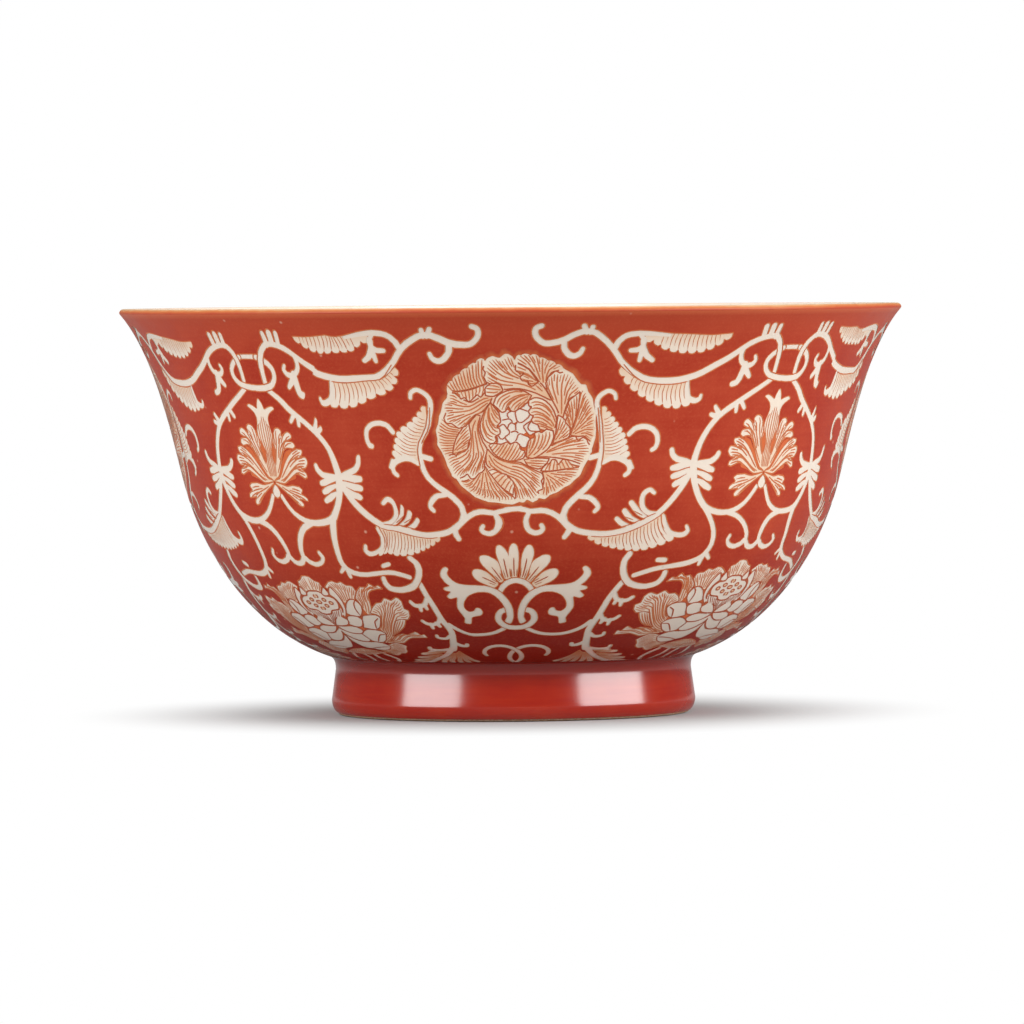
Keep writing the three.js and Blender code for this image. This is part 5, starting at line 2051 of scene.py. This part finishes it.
def on_wall(nodes, wall, run, depth):
    """The radius and height at a run up the wall's line, moved out by a depth."""
    line = nodes.add("GeometryNodeObjectInfo", {"Object": wall}, out="Geometry")
    curve = nodes.add("GeometryNodeMeshToCurve", {"Mesh": line})
    asked = {"Curves": curve, "Length": run}
    sample = nodes.add("GeometryNodeSampleCurve", asked, out="Position", mode="LENGTH")
    tangent = Wire(nodes, sample.socket.node.outputs["Tangent"])
    radius, _, height = sample.xyz()
    ahead, _, up = tangent.xyz()
    return radius + depth * up, height - depth * ahead


def wrapping_tree():
    nodes, given = new_tree("wrap_on_wall", WRAP_INPUTS)
    holder = nodes.add("GeometryNodeObjectInfo", {"Object": given["Places"]}, out="Geometry")
    copies = nodes.add("GeometryNodeInstanceOnPoints", {"Points": holder, "Instance": given["Geometry"]})
    real = nodes.add("GeometryNodeRealizeInstances", {0: copies})
    x, y, depth = nodes.add("GeometryNodeInputPosition").xyz()
    middle, left_half, right_half = sheet_measures(nodes, ANGLE_NAMES, "FLOAT")
    on_right = x > 0
    half_width = left_half * (1 - on_right) + right_half * on_right
    drift_x, drift_y = drift_at(nodes, x, y)
    turn = middle + (x + drift_x) / given["Half sheet"] * half_width
    radius, height = on_wall(nodes, given["Wall"], y + drift_y, depth)
    spot = round_the_axis(nodes, radius, turn, height)
    shaped = nodes.add("GeometryNodeSetPosition", {"Geometry": real, "Position": spot})
    merged = nodes.add("GeometryNodeMergeByDistance", {"Geometry": shaped, "Distance": SEAM_MERGE * MM})
    smoothed = nodes.add("GeometryNodeSetShadeSmooth", {"Geometry": merged, "Shade Smooth": True})
    return end_tree(nodes, smoothed, given["Material"])


WRAP = wrapping_tree()

# %% [markdown]
# A flat mesh lies on the sheet in metres, with its depth as its height, and the tree wraps it. The
# wall is smooth, so the normals come from the wall's own line and not from the small triangles,
# which would show in the glaze.

# %% Wrapping a flat mesh
wall_wire = wire_object("wall_line", wall_line)
wall_ways = outward[wall_index:]


def flat_mesh(name, spots, faces, depth, shade=None):
    """A flat mesh on the sheet. Its height on the sheet is turned into a run up the wall."""
    spots = np.asarray(spots)
    rise = np.interp(spots.imag, sheet_rows, wall_run)
    mesh = bpy.data.meshes.new(name)
    mesh.from_pydata([(x * MM, s * MM, depth * MM) for x, s in zip(spots.real, rise)], [], faces)
    if shade is not None:
        mesh.attributes.new("shade", "FLOAT", "CORNER").data.foreach_set("value", shade)
    return mesh


def wall_normals(mesh):
    """The wall's own normal at each corner of a mesh on it."""
    co = np.empty(len(mesh.vertices) * 3)
    mesh.vertices.foreach_get("co", co)
    x, y, z = co.reshape(-1, 3).T
    out, up = (np.interp(z / MM, wall_line[:, 1], wall_ways[:, i]) for i in (0, 1))
    radius = np.hypot(x, y)
    normals = np.stack([x / radius * out, y / radius * out, up], -1)
    return normals / np.linalg.norm(normals, axis=1)[:, None]


def wrapped(name, flat, material):
    """A flat mesh wrapped round the wall four times, as a plain object."""
    settings = {
        "Places": sheet_places,
        "Wall": wall_wire,
        "Half sheet": HALF_SHEET * MM,
        "Material": material,
    }
    piece = apply_tree(WRAP, flat, name, settings)
    piece.data.normals_split_custom_set_from_vertices(wall_normals(piece.data))
    return piece


print("the wall's line has", len(wall_line), "points")

# %% [markdown]
# A coat is cut out of the sheet as the triangles that carry it. A wash is strong at the root of its
# petal and fades from there, so each corner is given its share of the way from the root, as an
# attribute that the material reads.

# %% Cutting out a coat
SHADE_WITHOUT_ROOT = 0.35


def used_only(faces):
    """The corners that some faces use, and those faces renumbered."""
    used, renumbered = np.unique(faces, return_inverse=True)
    return corners[used], renumbered.reshape(-1, 3)


def shade_of(numbers, faces):
    """How far each corner lies from the root of its area, 0 at the root."""
    values = []
    for number, face in zip(numbers, faces):
        area = areas[number]
        if area["root"] is None:
            values.extend([SHADE_WITHOUT_ROOT] * 3)
        else:
            away = np.abs(corners[face][:, None] - area["root"][None, :]).min(1)
            values.extend(np.clip(away / area["reach"], 0, 1))
    return values


def cut_piece(name, coat_name, material, depth, shaded=False):
    chosen = coat == coat_name
    spots, faces = used_only(triangles[chosen])
    shade = shade_of(painted[chosen], triangles[chosen]) if shaded else None
    flat = flat_mesh(name, spots, faces.tolist(), depth, shade)
    return wrapped(name, flat, material)


print("coats to cut:", ", ".join(sorted({"coral", *COATS.values()} - {"open"})))

# %% [markdown]
# The bowl is built of eight bodies of material. Seven of them are turned here from the same lines as
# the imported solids: the body, the foot ring, three coats of glaze, the enamel on the foot and the
# lip. Each profile goes round its section once.

# %% Profiles
inner_radius = FOOT_INNER_RADIUS
glaze_radius = FOOT_INNER_RADIUS - GLAZE_THICKNESS
base_height = seat_height - GLAZE_THICKNESS
profiles = {
    "thrown_body": [
        (0, seat_height),
        (inner_radius, seat_height),
        *paste_face[neck_index:],
        *well_face[::-1],
    ],
    "foot_ring": [
        *paste_face[: neck_index + 1],
        (inner_radius, seat_height),
        (inner_radius, FOOT_BEVEL_HEIGHT),
        (FOOT_TREAD_INNER_RADIUS, 0),
    ],
    "inside_glaze": [*well_face, *lining_face[::-1]],
    "outside_glaze": [*glaze_face[glaze_index:], *paste_face[glaze_index:][::-1]],
    "base_glaze": [
        (0, base_height),
        (glaze_radius, base_height),
        (glaze_radius, FOOT_BEVEL_HEIGHT),
        (inner_radius, FOOT_BEVEL_HEIGHT),
        (inner_radius, seat_height),
        (0, seat_height),
    ],
    "coral_foot_coat": [
        *coat_face[glaze_index : wall_index + 1],
        *glaze_face[glaze_index : wall_index + 1][::-1],
    ],
    "lip_edge": [paste_face[-1], glaze_face[-1], coat_face[-1], *lip_cap, lining_face[-1], well_face[-1]],
}
print("profiles:", {name: len(profile) for name, profile in profiles.items()})

# %% [markdown]
# Each turned piece takes the place of the plain solid of its name, and rides on the bowl's one
# rigid body.

# %% Turned pieces
FINISHES = {
    "thrown_body": (paste, "paste"),
    "foot_ring": (paste, "paste"),
    "inside_glaze": (white_glaze, "clear_glaze"),
    "outside_glaze": (white_glaze, "clear_glaze"),
    "base_glaze": (white_glaze, "clear_glaze"),
    "coral_foot_coat": (foot_coral, "coral_enamel"),
    "lip_edge": (lip_finish, "lip_glaze"),
}
for node, (material, slot) in FINISHES.items():
    piece = turned(node + "_turned", profiles[node], material)
    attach(piece, "root")
    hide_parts(node)
print(len(FINISHES), "pieces were turned")

# %% [markdown]
# The eighth solid is the plain coat of coral on the wall. The coral ground takes its place, cut out
# round every reserve, with the glaze showing through the gaps. Its face is the solid's own outside.

# %% Coral ground
ground = cut_piece("coral_wall_ground", "coral", coral, 0)
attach(ground, "root")
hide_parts("coral_wall_coat")
print("the ground takes the place of coral_wall_coat")

# %% [markdown]
# The coral thins out to a paler edge round the white. Washes and brush lines were laid more thinly
# than the coral, so they lie lower, and the lines a little higher than the washes under them.

# %% Washes and brush lines
WASH_DEPTH = -0.04
LINE_DEPTH = -0.022
painted_pieces = [
    cut_piece("coral_edge", "edge", edge_line, 0, True),
    cut_piece("leaf_wash", "leaf", leaf_tint, WASH_DEPTH, True),
    cut_piece("petal_wash", "wash", petal_tint, WASH_DEPTH, True),
    cut_piece("deep_wash", "deep", deep_wash, WASH_DEPTH),
]
for tone, material in (("ochre", ochre_line), ("red", red_line)):
    spots, faces = ribbons[tone]
    flat = flat_mesh(tone + "_brush_lines", spots, faces, LINE_DEPTH)
    painted_pieces.append(wrapped(tone + "_brush_lines", flat, material))
for piece in painted_pieces:
    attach(piece, "root")
bpy.data.objects.remove(wall_wire)
bpy.data.objects.remove(sheet_places)
print(len(painted_pieces), "painted pieces lie on the wall")
